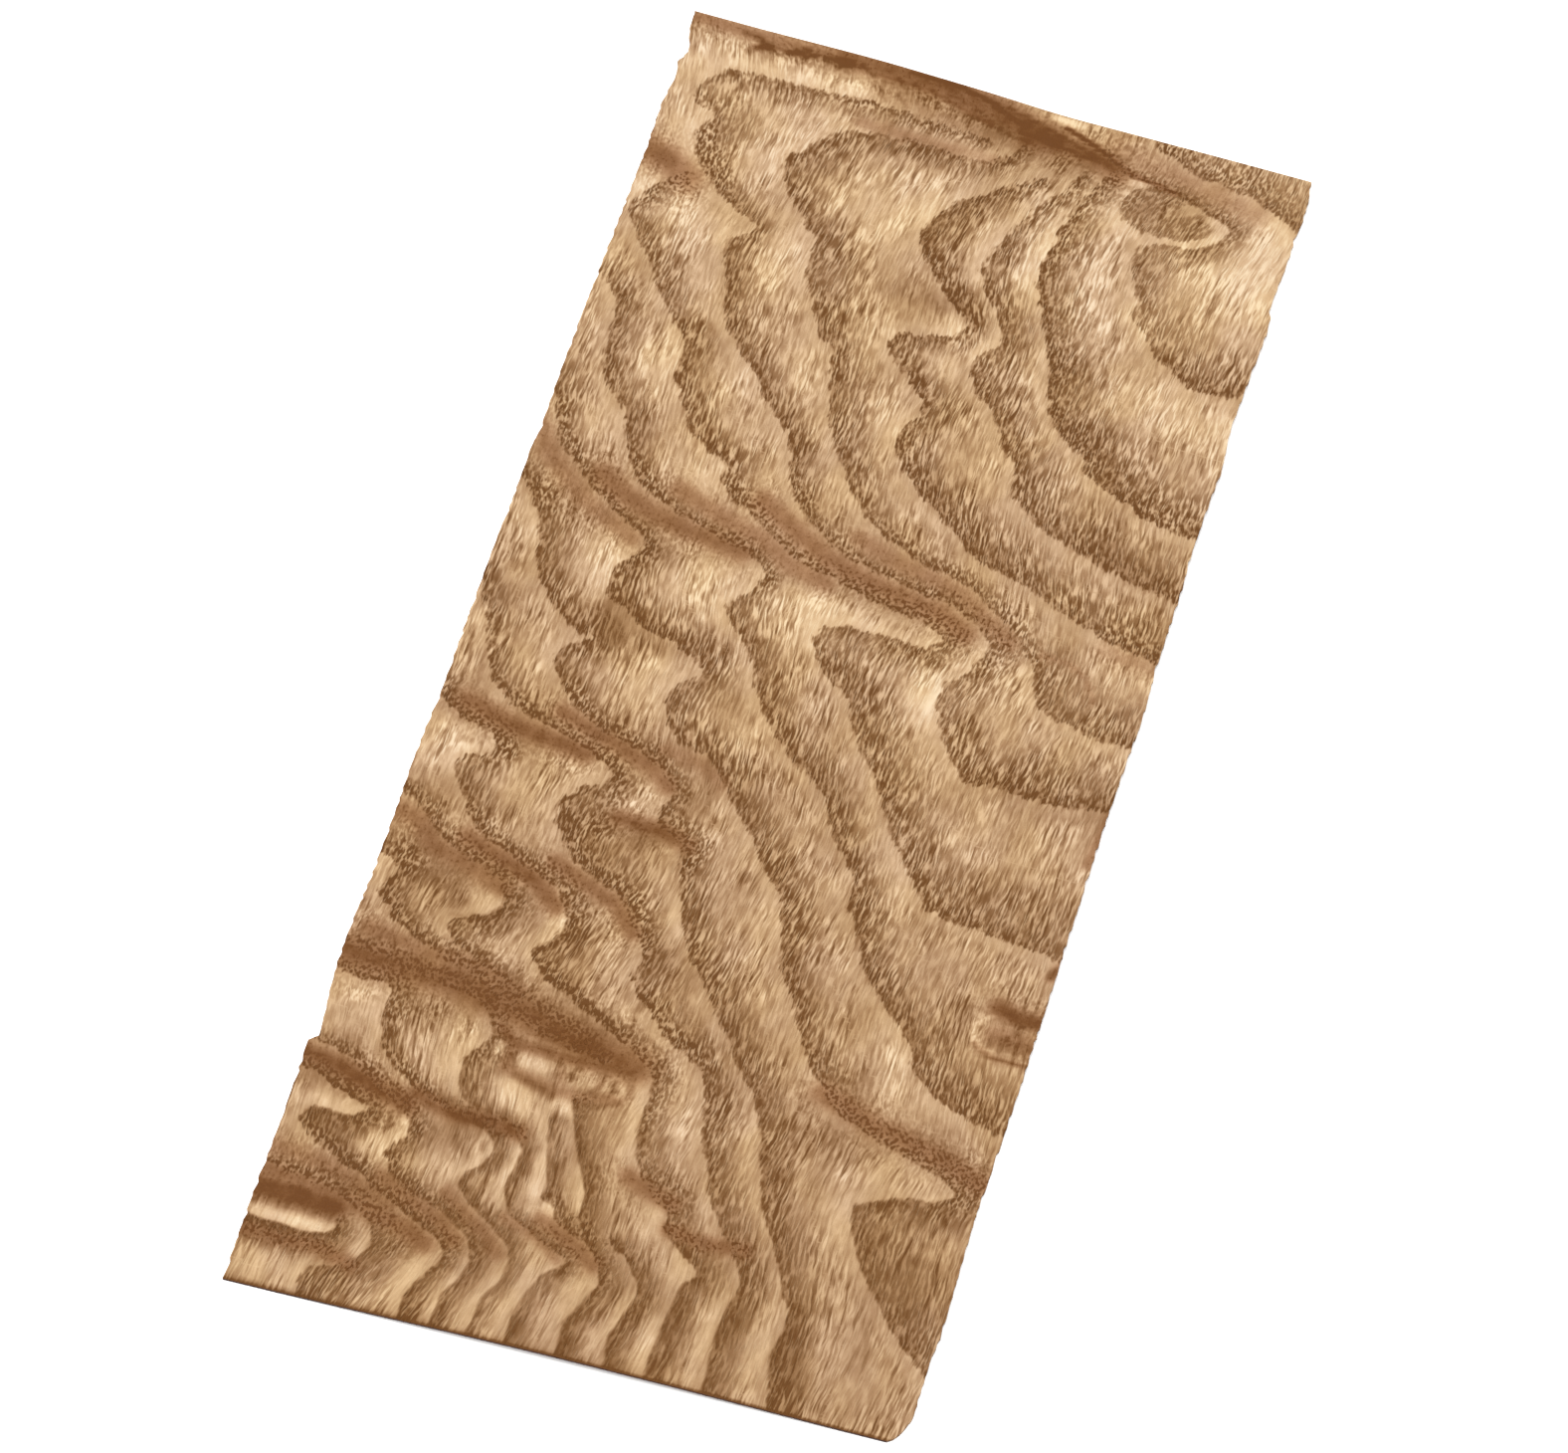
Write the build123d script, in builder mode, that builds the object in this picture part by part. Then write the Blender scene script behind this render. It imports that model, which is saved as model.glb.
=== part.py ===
# A single leaf of figured ash veneer, lying loose on a level surface.
#
# The leaf is one piece of wood: knife-cut straight across both ends, split along the wavy fibres
# at both long edges, and cockled by drying, so that it touches the surface only in its hollows
# and at its lower corners. Its fibres run along Y, and its lowest points are at Z = 0.
#
# All sizes are in millimetres.

import math
import os
from collections import namedtuple

from build123d import *

# Size of the leaf, before its edges are trimmed back
leaf_length = 305.0
leaf_width = 136.0
leaf_thickness = 0.6

# The two end cuts are a little out of square with the long edges
top_cut_fall = 3.4
bottom_cut_rise = 4.9

# The lower right corner is worn round
worn_corner_along = 9.2
worn_corner_across = 3.1
worn_corner_bulge = 1.2

# Where the long edges split away, as (percent of the length down from the top, depth lost).
# A splinter runs in slowly with the fibres and steps back out where it broke off.
left_edge_splits = [
    (0.0, 0.2),
    (1.6, 0.5),
    (2.8, 1.4),
    (3.5, 1.9),
    (4.3, 0.4),
    (5.6, 1.3),
    (7.9, 0.4),
    (14.1, 0.6),
    (29.8, 0.4),
    (35.6, 0.7),
    (37.0, 0.2),
    (56.7, 0.5),
    (58.7, 0.2),
    (70.5, 0.6),
    (74.9, 0.1),
    (77.0, 0.1),
    (79.0, 0.8),
    (82.5, 2.2),
    (83.0, 0.4),
    (88.5, 0.9),
    (92.5, 0.5),
    (100.0, 1.0),
]
right_edge_splits = [
    (0.0, 0.7),
    (1.3, 0.1),
    (3.3, 0.0),
    (4.8, 0.6),
    (5.6, 0.3),
    (11.0, 1.1),
    (11.5, 0.3),
    (12.8, 0.1),
    (20.7, 1.3),
    (24.4, 0.5),
    (30.3, 1.3),
    (34.4, 0.9),
    (39.7, 1.2),
    (43.9, 0.8),
    (51.1, 1.5),
    (71.1, 1.9),
    (81.3, 2.7),
    (89.8, 2.2),
    (91.5, 2.7),
]

# How high the leaf rides above the surface between its hollows, and how softly a hollow
# flattens out where it comes to rest
general_lift = 1.3
rest_softness = 0.12

# Hollows and ridges of the cockled leaf: each follows a line and dies away beside it
Cockle = namedtuple("Cockle", "line half_width rise")
cockles = [
    Cockle([(-72.0, 118.0), (-50.0, 109.0)], 9.0, -1.1),
    Cockle([(-68.0, 32.0), (2.0, 29.0), (60.0, 18.0)], 9.0, -1.2),
    Cockle([(-70.0, -20.0), (-8.0, -28.0)], 8.5, -1.2),
    Cockle([(-70.0, -52.0), (-10.0, -57.0)], 8.0, -0.6),
    Cockle([(-70.0, -79.0), (6.0, -88.0)], 8.5, -1.2),
    Cockle([(-70.0, -131.0), (-34.0, -130.0)], 8.5, -1.1),
    Cockle([(30.0, -83.0), (70.0, -87.0)], 9.0, -1.2),
    Cockle([(14.0, 148.0), (62.0, 132.0)], 11.0, -1.0),
    Cockle([(-30.0, 156.0), (-22.0, 140.0)], 16.0, 0.7),
    Cockle([(20.0, 92.0), (48.0, 62.0)], 22.0, 0.6),
    Cockle([(-2.0, -8.0), (26.0, -48.0)], 20.0, 0.6),
    Cockle([(2.0, -158.0), (-4.0, -134.0)], 30.0, 0.4),
]

# The two lower corners droop down to the surface
corner_droop = 1.3
corner_droop_reach = 34.0

# Spacing of the cross-sections that the cockled leaf is lofted through, and of the points along
# each of them, and how far the loft overhangs the outline that is then cut from it
section_spacing = 6.0
section_overhang = 6.0


def distance_to_run(x, y, start, end):
    """Distance in plan from a point to one straight run of a cockle's line."""
    run_x = end[0] - start[0]
    run_y = end[1] - start[1]
    share = ((x - start[0]) * run_x + (y - start[1]) * run_y) / (run_x**2 + run_y**2)
    share = min(1.0, max(0.0, share))
    return math.hypot(x - start[0] - share * run_x, y - start[1] - share * run_y)


def underside_height(x, y):
    """Height of the leaf's underside above the surface that it lies on."""
    height = general_lift
    for cockle in cockles:
        runs = zip(cockle.line, cockle.line[1:])
        beside = min(distance_to_run(x, y, start, end) for start, end in runs)
        height += cockle.rise * math.exp(-((beside / cockle.half_width) ** 2))
    for corner_x in (-leaf_width / 2, leaf_width / 2):
        from_corner = math.hypot(x - corner_x, y + leaf_length / 2)
        height -= corner_droop * math.exp(-((from_corner / corner_droop_reach) ** 2))
    # A hollow can't sink through the surface, so it flattens out there
    return rest_softness * math.log1p(math.exp(height / rest_softness))


def stations(size):
    """Even stations over one direction of the leaf, with the overhang past both edges."""
    reach = size / 2 + section_overhang
    count = math.ceil(2 * reach / section_spacing)
    return [-reach + 2 * reach * step / count for step in range(count + 1)]


across_leaf = stations(leaf_width)
along_leaf = stations(leaf_length)
lowest = min(underside_height(x, y) for x in across_leaf for y in along_leaf)


def wave_line(y, rise):
    """Curve straight across the leaf, this far above its underside."""
    shares = [step / (len(across_leaf) - 1) for step in range(len(across_leaf))]
    points = [Vector(x, y, underside_height(x, y) - lowest + rise) for x in across_leaf]
    return Edge.make_spline(points, parameters=shares)


def cross_section(y):
    """Thin cockled band: the leaf cut straight across at one place."""
    underside = wave_line(y, 0)
    face = wave_line(y, leaf_thickness)
    right_end = Edge.make_line(underside @ 1, face @ 1)
    left_end = Edge.make_line(face @ 0, underside @ 0)
    return Face(Wire([underside, right_end, face, left_end]))


def edge_points(splits, side, top_y, bottom_y):
    """Points of one long edge, with side -1 for the left one and 1 for the right one."""
    return [
        (side * (leaf_width / 2 - depth), top_y + (bottom_y - top_y) * percent / 100)
        for percent, depth in splits
    ]


top_left_y = leaf_length / 2
top_right_y = leaf_length / 2 - top_cut_fall
bottom_left_y = -leaf_length / 2
bottom_right_y = -leaf_length / 2 + bottom_cut_rise
right_edge_end = leaf_width / 2 - right_edge_splits[-1][1]

with BuildPart() as veneer_sheet:
    loft(sections=[cross_section(y) for y in along_leaf])
    with BuildSketch():
        with BuildLine():
            left_edge = Polyline(*edge_points(left_edge_splits, -1, top_left_y, bottom_left_y))
            right_edge = Polyline(
                *edge_points(right_edge_splits, 1, top_right_y, top_right_y - leaf_length),
                (right_edge_end, bottom_right_y + worn_corner_along),
            )
            top_cut = Line(left_edge @ 0, right_edge @ 0)
            bottom_cut = Line(left_edge @ 1, (right_edge_end - worn_corner_across, bottom_right_y))
            worn_corner = SagittaArc(right_edge @ 1, bottom_cut @ 1, worn_corner_bulge)
        make_face()
    extrude(amount=10 * general_lift, both=True, mode=Mode.INTERSECT)

veneer_sheet.part.label = "veneer_sheet"

os.makedirs("parts", exist_ok=True)
export_step(veneer_sheet.part, "parts/veneer_sheet.step")

box = veneer_sheet.part.bounding_box()
print("size", [round(v, 2) for v in box.size])
print("from", [round(v, 2) for v in box.min], "to", [round(v, 2) for v in box.max])
print("volume", round(veneer_sheet.part.volume), "solids", len(veneer_sheet.part.solids()))
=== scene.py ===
# %% [markdown]
# # A leaf of figured ash veneer
#
# The object is a single leaf of knife-cut veneer, 305 mm long, 136 mm wide and 0.6 mm thick. It
# lies loose on a pale surface and touches it only in its hollows. The solid part gives the outline,
# the larger splits of its edges, the thickness and the cockles. This scene adds what can be seen but
# hardly measured: the growth rings, the vessels, the colour of the wood, the relief of its grain and
# the finest nicks of its split edges.
#
# The stages are:
#
# 1. read the leaf's outline and height from the solid part,
# 2. draw the growth rings as lines, with the side on which each ring begins,
# 3. draw the bands where the cut runs down through the rings, and the paler and browner places,
# 4. lay out which way the fibres run,
# 5. turn all of it into values on a fine mesh of the leaf,
# 6. make the wood from those values, then set up the floor, light and camera.

# %% Load the solid part
import math

import bpy
import numpy as np
from mathutils import Matrix, Vector
from mathutils.bvhtree import BVHTree


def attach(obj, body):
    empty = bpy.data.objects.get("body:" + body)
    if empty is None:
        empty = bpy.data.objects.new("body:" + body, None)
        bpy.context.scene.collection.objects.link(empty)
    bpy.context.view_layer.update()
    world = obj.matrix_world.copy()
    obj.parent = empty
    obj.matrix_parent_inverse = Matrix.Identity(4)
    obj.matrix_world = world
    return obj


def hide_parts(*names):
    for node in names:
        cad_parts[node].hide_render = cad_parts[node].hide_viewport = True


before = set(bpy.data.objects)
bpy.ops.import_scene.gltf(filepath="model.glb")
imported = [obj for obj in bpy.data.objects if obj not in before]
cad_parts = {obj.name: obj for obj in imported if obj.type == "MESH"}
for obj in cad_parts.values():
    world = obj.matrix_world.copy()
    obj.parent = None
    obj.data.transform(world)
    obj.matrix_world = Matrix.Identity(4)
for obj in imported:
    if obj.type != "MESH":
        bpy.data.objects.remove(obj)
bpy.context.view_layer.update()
solid_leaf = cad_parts["veneer_sheet"]

# %% [markdown]
# ## Reading the leaf
#
# The show face has to follow the solid part exactly, because the part is what other things are
# fitted to. Its sizes could be written down here once more, but then the two could drift apart. So
# the two long edges are read from the part's side walls, as the distance across for each distance
# along, and the height is read by looking straight down on it.

# %% Read the long edges
MM = 0.001
WALL_TIP = 0.5  # a wall's normal points up or down by less than this
END_CUT_TURN = 0.99  # an end cut's normal points along the leaf by more than this
END_CUTS_BEYOND = 146  # the end cuts lie further along than this, in mm
LONG_EDGES_BEYOND = 55  # and the long edges further across than this


def is_split_edge(polygon):
    """Whether this face of the solid belongs to one of its long edges."""
    is_wall = abs(polygon.normal.z) <= WALL_TIP
    turned_along = abs(polygon.normal.y) > END_CUT_TURN
    return is_wall and not (turned_along and abs(polygon.center.y) > END_CUTS_BEYOND * MM)


def wall_points(mesh, side):
    """Points along the solid's left (-1) or right (1) long edge, as (along, across) in mm."""
    found = {}
    for polygon in filter(is_split_edge, mesh.polygons):
        for index in polygon.vertices:
            point = mesh.vertices[index].co / MM
            if side * point.x > LONG_EDGES_BEYOND:
                key = round(point.y, 2)
                if key not in found or side * point.x > side * found[key]:
                    found[key] = point.x
    return np.array(sorted(found.items()))


left_edge = wall_points(solid_leaf.data, -1)
right_edge = wall_points(solid_leaf.data, 1)
print("points read:", len(left_edge), "on the left edge,", len(right_edge), "on the right one")

# %% Lay a grid over the leaf
SPACING = 0.75

# The long edges end at the corners. A corner is its distance along and then across.
bottom_left, top_left = left_edge[0], left_edge[-1]
bottom_right, top_right = right_edge[0], right_edge[-1]

# An even number of cells each way, because the underside's mesh is half as fine
columns = 2 * round((top_right[1] - top_left[1]) / SPACING / 2)
rows = 2 * round((top_left[0] - bottom_left[0]) / SPACING / 2)

share_across = np.linspace(0, 1, columns + 1)[None, :]
share_along = np.linspace(0, 1, rows + 1)[:, None]
bottom_y = bottom_left[0] + (bottom_right[0] - bottom_left[0]) * share_across
top_y = top_left[0] + (top_right[0] - top_left[0]) * share_across
leaf_y = bottom_y + (top_y - bottom_y) * share_along
print("grid of", rows, "by", columns, "cells")

# %% [markdown]
# ## Nicks in the split edges
#
# A leaf that splits along its fibres doesn't leave a clean line. Small splinters come away every
# few millimetres: each nick runs in slowly with the fibres and steps back out where its splinter
# broke off. They are under half a millimetre deep, too small for the solid part, and too many to
# draw one by one, so seeded chance spaces them. They only cut inwards, which keeps the leaf within
# the part.

# %% Cut the nicks
NICK_LENGTHS = (1.8, 5.0)
NICK_DEPTHS = (0.08, 0.46)
NICK_STEP = 0.7


def nibbles(y, seed):
    """How far the split edge is nibbled away at each place, in mm."""
    chance = np.random.default_rng(seed)
    places, depths = [y.min()], [0.0]
    while places[-1] < y.max():
        nick_end = places[-1] + chance.uniform(*NICK_LENGTHS)
        places += [nick_end - NICK_STEP, nick_end]
        depths += [chance.uniform(*NICK_DEPTHS), 0.0]
    return np.interp(y, places, depths)


left_x = np.interp(leaf_y, left_edge[:, 0], left_edge[:, 1]) + nibbles(leaf_y, 5)
right_x = np.interp(leaf_y, right_edge[:, 0], right_edge[:, 1]) - nibbles(leaf_y, 8)
leaf_x = left_x + (right_x - left_x) * share_across
print("leaf from", leaf_x.min().round(2), "to", leaf_x.max().round(2), "mm across")

# %% [markdown]
# ## The cockled face
#
# The solid's facets are a fifteenth of a millimetre off a smooth wave at most, but a low light
# would show them. Averaging each height with its neighbours' a few times restores the gentle
# cockles without moving them.

# %% Read the height from above
LOOK_FROM = 0.05
# How far towards the middle to look, where a look straight at the edge misses it
LOOK_INWARD = (0.999, 0.99, 0.97)
USUAL_HEIGHT = 2.0
SMOOTHING_ROUNDS = 24
NEIGHBOUR_SHARE = 0.15

solid_faces = BVHTree.FromPolygons(
    [tuple(v.co) for v in solid_leaf.data.vertices],
    [tuple(p.vertices) for p in solid_leaf.data.polygons],
)


def height_from_above(x, y):
    """Height of the show face at one place, in mm."""
    for inward in LOOK_INWARD:
        start = Vector((x * inward * MM, y * inward * MM, LOOK_FROM))
        hit = solid_faces.ray_cast(start, Vector((0, 0, -1)))
        if hit[0] is not None:
            return hit[0].z / MM
    return USUAL_HEIGHT


def smoothed(field, rounds):
    """The field, averaged with its four neighbours this many times."""
    for _ in range(rounds):
        padded = np.pad(field, 1, mode="reflect", reflect_type="odd")
        neighbours = padded[:-2, 1:-1] + padded[2:, 1:-1] + padded[1:-1, :-2] + padded[1:-1, 2:]
        field = (1 - 4 * NEIGHBOUR_SHARE) * field + NEIGHBOUR_SHARE * neighbours
    return field


leaf_z = smoothed(np.vectorize(height_from_above)(leaf_x, leaf_y), SMOOTHING_ROUNDS)
print("height of the show face", leaf_z.min().round(2), "to", leaf_z.max().round(2), "mm")

# %% [markdown]
# ## Growth rings
#
# Ash is ring-porous: each year's wood begins with a sharp line of wide vessels, the earlywood,
# and passes slowly into dense pale latewood, until the next year's vessels begin with another
# sharp line. A leaf cut flat from a rippled log shows those sheets as contours. Noise could make
# rings of this kind, but never this leaf's, and the figure is what a leaf is chosen for. So every
# ring is drawn.
#
# Each line below is the beginning of one year's wood, with its strength and then its points, in
# millimetres across and along the leaf. Walking along a line, the earlywood is on the left hand.
# Some points also have a fade, which is how far the earlywood reaches before it is lost in
# latewood: it is wide where the knife ran almost along the ring, and narrow where it cut across.

# %% Rings of the upper right
upper_right_rings = [
    (1.0, [(35, 148.5, 9), (38, 147), (43, 144.8), (50, 143.8), (57, 142.5), (62, 140), (69, 136.5, 13)]),
    (0.95, [(24, 144.3, 1.5), (27, 142.8), (31, 140.5, 2), (36, 139.7), (42, 138.6, 3), (48, 136.2),
        (52, 134.8), (55.3, 133.4, 4), (53.5, 130), (51, 126.3), (47, 124.8), (42, 124, 9), (37.7, 122.8),
        (37.5, 120.5), (38.5, 115.5), (40.7, 110.5), (41.5, 105), (42.5, 103), (44.8, 101.8), (48, 98),
        (52, 95.8), (55.5, 93, 13), (59, 92.6), (63.5, 93.3), (69, 95)]),
    (0.9, [(42, 137.8, 20), (36, 138.6), (33, 136), (31.3, 132), (32.2, 129.3), (35, 127.8), (40, 127.2),
        (46, 128.2), (49.5, 130.5, 20)]),
    (1.25, [(26.8, 138.5, 6), (24, 131), (21.3, 123, 9), (20.8, 116.5), (19.5, 112), (20.2, 107),
        (23.5, 100, 11), (26.5, 93), (29.2, 87.5), (28.9, 83.5), (31, 78.5), (33.5, 75), (37, 72.3),
        (40, 70.7), (41.8, 66.8), (46, 64.3, 13), (50, 62.5), (56, 60), (62, 58.7), (69, 58.5)]),
    (1.05, [(21.5, 137, 4), (19, 130.5), (15, 126, 6), (12.5, 120), (10.5, 115), (8, 107.5), (10.5, 103),
        (14.5, 98.5), (17, 93, 8), (16.5, 89.5), (13.6, 86.3), (13.2, 82.5), (15.5, 78.5), (19.5, 76.3),
        (21.8, 72.5), (23.7, 68), (27.7, 64.5), (28.7, 59.5), (29.2, 56.8), (32.5, 54.5), (38, 51, 11),
        (45, 48.6), (52, 46.3), (60, 44.3), (69, 43)]),
    (1.15, [(14, 133, 5), (8, 128.5), (2, 124.5, 7), (-1.5, 121.5), (-4.7, 117, 8), (-6, 112.5),
        (-5, 108.5), (-2, 105.5), (2, 101), (5.5, 98, 6), (9, 95), (9.5, 92.5), (8, 90.3), (4, 88.6),
        (0, 87.7, 4), (-4, 87.6), (-5, 85), (-3, 82), (-1, 80.5), (3.5, 75.5, 8), (6.3, 73), (5.8, 70),
        (3.4, 66), (3.7, 61.5), (6.5, 57), (10.5, 52.8), (15.5, 49.3), (20.5, 46), (24, 42.2), (28, 40.3),
        (33, 40, 9), (40, 36.8), (48, 33.5), (56, 30.8), (69, 28.3)]),
]
print(len(upper_right_rings), "rings")

# %% Rings through the middle, from the upper left to the right edge
middle_rings = [
    (0.98, [(8, 139.5, 3), (6.5, 137), (4.5, 134.8), (0, 133.2, 4), (-8, 133.2), (-15, 133.6),
        (-22, 133.2), (-27, 132, 6), (-31, 130.3, 10), (-33.5, 127), (-35, 124.8), (-38, 123),
        (-37.5, 119.5, 13), (-36, 116, 10), (-32.5, 111.5), (-29.5, 108, 6), (-26.5, 105.5),
        (-26, 100, 13), (-26.3, 96), (-24, 92.5), (-21, 87), (-18.5, 82.5), (-15.3, 80), (-15, 75.5),
        (-13.4, 72), (-12.6, 67), (-10.5, 61.5), (-7.5, 57), (-4.5, 52.5, 8), (-1.5, 48), (2.5, 44),
        (7, 41, 4), (14, 38, 2.5), (18, 36.5), (22, 36), (26, 34.5), (29, 33), (33, 30.5), (36, 28.5),
        (40, 25, 5), (44, 21, 11), (45.5, 16), (47.5, 11.5), (53, 10.1), (60, 8.6), (69, 8.3, 13)]),
    (1.0, [(0, 138.6, 3), (-8, 139.4), (-14, 139.6, 4), (-20, 139.8), (-26, 140.4), (-34, 140.3, 5),
        (-42, 140), (-50, 140), (-56, 140.2, 6), (-59.3, 136.5, 6), (-61.3, 132.3), (-59, 130.2),
        (-55.4, 129.8, 12), (-55.1, 127), (-58, 124), (-57.5, 120.5, 13), (-55, 116.5, 8), (-50, 111.7, 5),
        (-45, 108.5), (-40, 105.6, 3), (-39, 104), (-40.5, 101.5), (-43.8, 99.8, 7), (-43.8, 96.5),
        (-42, 92), (-40.3, 87), (-38.8, 81), (-36.5, 77.5), (-33, 74), (-28, 69.5), (-26, 65.5), (-21, 61),
        (-18, 57.5), (-16, 52.5), (-14.7, 47.5, 6), (-10.5, 41.8), (-5, 37.5, 3), (2, 34, 2.2), (9, 32.5),
        (17, 31), (24, 30), (31, 26.5, 3), (35.5, 22.5, 8), (33.5, 18.5), (31.5, 14.5), (28.3, 11),
        (27.8, 6), (30, 1.5), (34, -4.5), (38, -8.7), (46, -8, 12), (54, -8.6), (61, -7.5), (69, -6.3)]),
    (1.0, [(-58.5, 112.5, 6), (-62, 108), (-65, 103), (-65.3, 100), (-62, 95, 7), (-57.5, 90), (-54.5, 85),
        (-51, 81), (-48.5, 76.8), (-44.5, 73.5), (-44, 69), (-44.3, 65), (-43, 62), (-39.5, 56.2),
        (-36.5, 52.5), (-33.5, 50.3), (-27.5, 47.6, 7), (-28, 44), (-25, 41), (-20, 38, 4),
        (-15, 35.2, 2.2), (-10, 31.8), (-5, 29.7), (2, 28.4), (8, 26.6), (15, 25.6), (21, 24.4),
        (27, 21.5, 5), (24.5, 20), (22, 17, 10), (17, 17.4), (6, 17.4), (1.2, 16), (0.2, 13), (2, 9.8),
        (6, 5.5), (11, 2), (13, -2), (16, -7), (19.5, -11.5), (23, -16.5), (26, -21.5), (29.5, -27.5),
        (33.5, -32.5), (38.5, -38), (43, -39, 12), (52, -39.8), (61, -40.8), (69, -41.8)]),
    (1.0, [(-69, 84.5, 5), (-65, 83), (-60.7, 79.3), (-60, 73), (-59.3, 64), (-57, 59), (-53.5, 55.2),
        (-51.2, 53.8), (-50, 50), (-48.3, 45, 7), (-45.5, 40.5), (-42, 37.5, 3), (-37, 35.5, 2.2),
        (-31, 33.2), (-24, 31.4), (-19, 30.3), (-15, 27.8), (-12.5, 25, 3), (-15.5, 19, 7), (-18.3, 15),
        (-16.5, 12), (-12, 8.5), (-9.5, 4.5), (-7.3, -0.5), (-4.5, -5), (0, -10.5), (4, -13.8), (8.5, -17),
        (12.5, -20.5), (15.5, -25.5), (18.5, -30), (22, -34), (23.7, -38), (24.3, -42.5), (27, -46.5),
        (29.5, -51.5), (31, -55.5), (35, -59), (38.5, -62.5, 8), (42, -65.3), (44.8, -69), (45.2, -71.3),
        (50, -75.5, 12), (54.5, -77.5), (60, -79.5), (69, -80.8)]),
    (1.0, [(-69, 59, 7), (-66.5, 54), (-64, 48.5), (-62, 43.5), (-57, 38.6, 3), (-52, 34.8, 2.2),
        (-47, 31.5), (-43, 28.6), (-39, 27, 3), (-38.6, 24, 7), (-40.5, 19.5), (-42.7, 15.5), (-42, 12),
        (-39.5, 10), (-34.5, 7.2), (-28, 5.2), (-22, 3), (-18.3, 0.3), (-18.2, -2), (-22, -5), (-23.5, -9),
        (-21.5, -13.5), (-18, -17), (-12.5, -18), (-9.5, -20, 8.5), (-6, -24), (-2, -28.5), (2, -33.5),
        (5.5, -38.3), (9.5, -42.3), (12, -47), (13.8, -52.5), (15.5, -58.5), (18.5, -63), (21, -68),
        (23.5, -73), (27, -77), (31, -82), (35, -85), (43, -88.3, 5), (51, -90.7), (58, -92.7),
        (61.3, -94.6), (60.5, -97), (56, -99.2), (51, -100.2), (46, -101.8), (43.3, -103.5, 12),
        (43.5, -106), (46, -112), (49, -116.3), (54, -122.5), (59.5, -128), (63.5, -131.3),
        (69, -135, 16)]),
]
print(len(middle_rings), "rings")

# %% Rings from the middle left to the foot
lower_rings = [
    (1.02, [(-69, 35, 4), (-64.5, 31), (-61, 26), (-59.3, 20.5, 7), (-58, 15.5), (-56, 11), (-53, 7),
        (-49, 3.4), (-44, 1.3), (-41.5, 0.4), (-43, -0.9), (-46, -3), (-47.3, -6), (-45.3, -10),
        (-41.8, -14, 6), (-36.5, -17.5, 3), (-29, -19.3, 2.4), (-25, -20.5), (-20, -23), (-16.8, -25.5),
        (-15.5, -28, 4), (-17.6, -33, 6), (-16, -36), (-10.5, -38.8), (-10, -42), (-9, -47.7, 7),
        (-7, -52), (-5, -57), (-2.2, -61.5), (1.5, -66), (5, -70.5), (9, -75.5), (13, -81), (18, -85.5),
        (20.5, -91), (23.5, -98.5), (25.3, -104.5), (27.3, -110.5), (31, -115.5), (34, -121.5),
        (37.3, -127.5), (38, -131), (36.8, -138), (38.5, -144), (39.5, -149)]),
    (1.02, [(-69, 8.5, 6), (-65.5, 4), (-63.3, -0.5), (-61.5, -5), (-60, -10), (-57.5, -14),
        (-53, -17.5, 4), (-47, -19.5, 2.6), (-40, -21.3), (-35, -23.2), (-31, -25), (-28.5, -26.5, 4),
        (-27.7, -29), (-31, -31.7, 8), (-34.5, -33), (-36.7, -37, 17), (-35.8, -41), (-33, -45, 15),
        (-30, -48.3, 11), (-25, -50.5, 8), (-19, -52.3), (-15, -57, 6), (-12.3, -61.5), (-10.7, -65.5),
        (-11.9, -69, 7), (-9.5, -72.8), (-4, -77.5), (0, -80.5), (6, -83), (9, -87), (10.2, -92),
        (12, -99), (14.5, -105), (17.3, -111), (22, -117), (26, -122), (27.2, -125.5), (26.3, -132),
        (25.9, -139), (26.9, -149)]),
    (1.02, [(-69, -16, 4), (-67, -19), (-64.5, -21.8), (-60, -23.3, 3), (-55.5, -25), (-52.7, -26.7, 5),
        (-52, -28.7), (-54, -31.5), (-57.5, -32.5, 8), (-59.3, -34.5), (-56.5, -39), (-52, -45, 6),
        (-48.5, -48), (-44, -49.4, 3), (-38, -52), (-34, -53.6), (-30.5, -55.5), (-27.5, -61, 6),
        (-27.3, -64.5), (-30.5, -68), (-31.8, -70), (-28, -74, 5), (-23, -75.8, 3), (-18, -78.5, 2.4),
        (-13, -81), (-8, -83.3), (-3, -86), (-1.2, -89, 5), (-1, -94), (-0.8, -99, 6.5), (0.5, -105),
        (3, -109.5), (6, -112.5), (9.7, -115), (10.2, -118.5), (14, -122), (19, -125), (19.3, -126.6),
        (16.9, -129), (16.3, -134), (15.8, -141), (15.2, -150)]),
    (1.0, [(-69, -42.3, 4), (-65, -43), (-61, -46.3), (-58, -49.8, 3), (-53, -52), (-47, -54.3),
        (-42, -56.5, 4), (-39.7, -61.5, 6), (-42, -65.5), (-48, -67.5), (-49.3, -68.8), (-47, -72, 4),
        (-42, -74.3, 3), (-37, -76), (-33, -78.5, 2.4), (-28, -80.3), (-22, -82.6), (-16, -84.8)]),
    (1.0, [(-69, -56.5, 5), (-63.5, -57.8), (-62.1, -60), (-64.3, -65.5, 8), (-61, -69.3), (-56, -72.5, 4),
        (-50, -74.6, 3), (-45, -76), (-40, -78), (-35, -80.8, 2.4), (-30, -83.6), (-25, -85.2),
        (-19, -86.6), (-12, -87.6)]),
]
print(len(lower_rings), "rings")

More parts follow.
